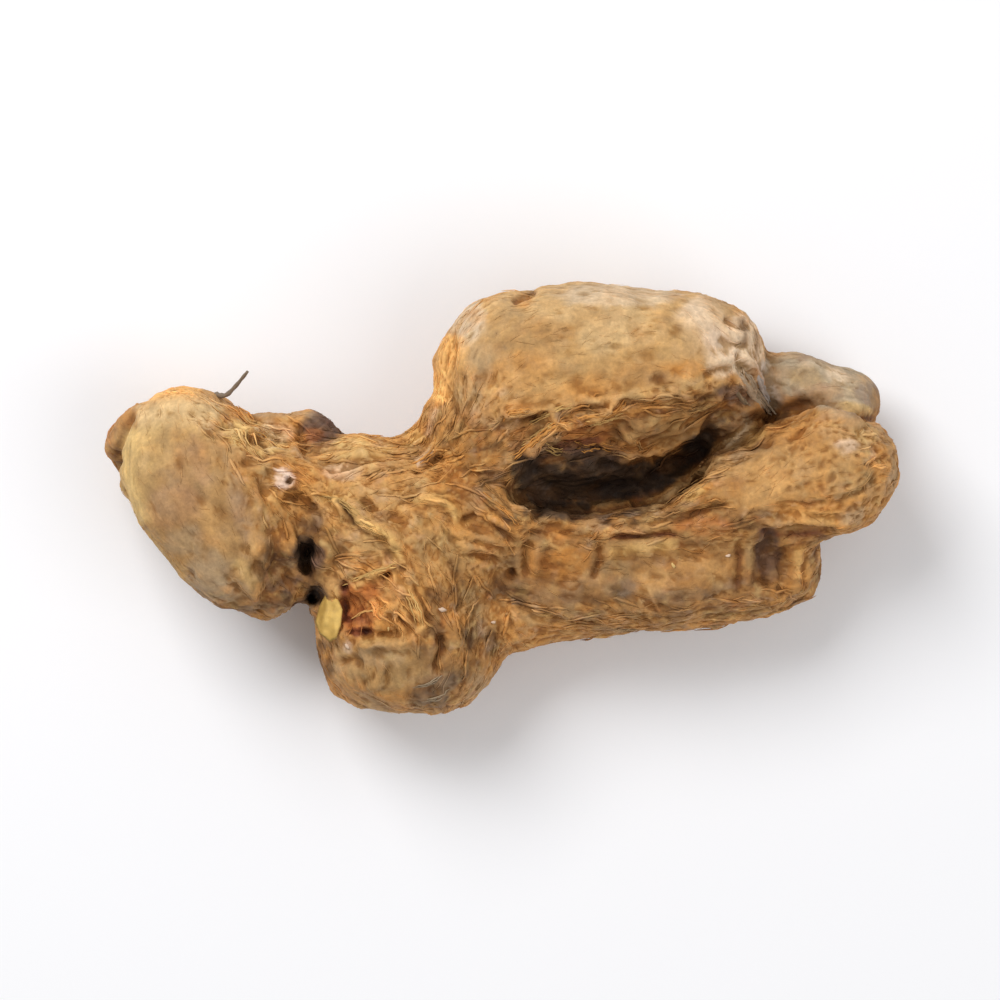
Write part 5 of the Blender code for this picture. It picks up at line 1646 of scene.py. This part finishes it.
def makeCrumbs():
    rng = np.random.default_rng(31)
    parts = []
    for size, colour, x, y in crumbs:
        ball = bmesh.new()
        bmesh.ops.create_icosphere(ball, subdivisions=2, radius=0.5)
        spots = np.array([tuple(vertex.co) for vertex in ball.verts])
        faces = [tuple(corner.index for corner in face.verts) for face in ball.faces]
        ball.free()
        spots *= (1 + 0.5 * lumps(spots + x, 0.6, 59, 2))[:, None] * np.array([1.0, 0.55, 0.5]) * size
        turn = rng.uniform(0, math.pi)
        cos, sin = math.cos(turn), math.sin(turn)
        spots[:, :2] = spots[:, :2] @ np.array([[cos, sin], [-sin, cos]])
        spots += np.array([x, y, skinHeight(x, y) + size * 0.12])
        parts.append((spots, faces, np.array(colours[colour])))
    return joinParts("crumbs", parts, fibreMaterial)


handPieces = [layStrands(), makeRootlet(), makeChip(), makeCrumbs()]

keepOnly(skinPiece.data, ("tint",))

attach(skinPiece, "root")
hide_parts("ginger_root")
for part in fibrePieces + handPieces:
    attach(part, "root")


# Floor, light and camera

# Here places and sizes are in metres, but for the camera's lens and distance. Each light: place, side
# length, power
studio = {
    "lens": 200.0,
    "distance": 680.0,
    "worldLight": 0.42,
    "floorReach": 3.0,
    "floorColour": (0.93, 0.93, 0.95, 1),
    "floorRough": 0.9,
    "aim": (0, 0, 0.012),
    "lights": {
        "key": ((-0.22, 0.27, 0.42), 0.3, 2.024),
        "fill": ((0.3, -0.15, 0.45), 0.4, 0.828),
    },
}


def addLight(name, place, size, power):
    data = bpy.data.lights.new(name, "AREA")
    data.shape = "SQUARE"
    data.size = size
    data.energy = power
    lamp = linkObject(name, data)
    lamp.location = place
    lamp.rotation_euler = (Vector(studio["aim"]) - Vector(place)).to_track_quat("-Z", "Y").to_euler()


def makeStudio():
    floorMesh = bpy.data.meshes.new("floor")
    reach = studio["floorReach"]
    corners = [(-reach, -reach, 0), (reach, -reach, 0), (reach, reach, 0), (-reach, reach, 0)]
    floorMesh.from_pydata(corners, [], [(0, 1, 2, 3)])
    floor = linkObject("floor", floorMesh)
    paint = bpy.data.materials.new("floor_paint")
    paint.use_nodes = True
    shader = paint.node_tree.nodes["Principled BSDF"]
    shader.inputs["Base Color"].default_value = studio["floorColour"]
    shader.inputs["Roughness"].default_value = studio["floorRough"]
    floorMesh.materials.append(paint)

    world = bpy.data.worlds.new("studio")
    world.use_nodes = True
    light = world.node_tree.nodes["Background"].inputs
    light["Color"].default_value = (1, 1, 1, 1)
    light["Strength"].default_value = studio["worldLight"]
    bpy.context.scene.world = world
    for name, (place, size, power) in studio["lights"].items():
        addLight(name, place, size, power)

    data = bpy.data.cameras.new("camera")
    data.lens = studio["lens"]
    camera = linkObject("camera", data)
    camera.location = (0, 0, studio["distance"] * mm)
    camera.rotation_euler = (0, 0, 0)
    bpy.context.scene.camera = camera
    bpy.context.scene.view_settings.view_transform = "Standard"


makeStudio()
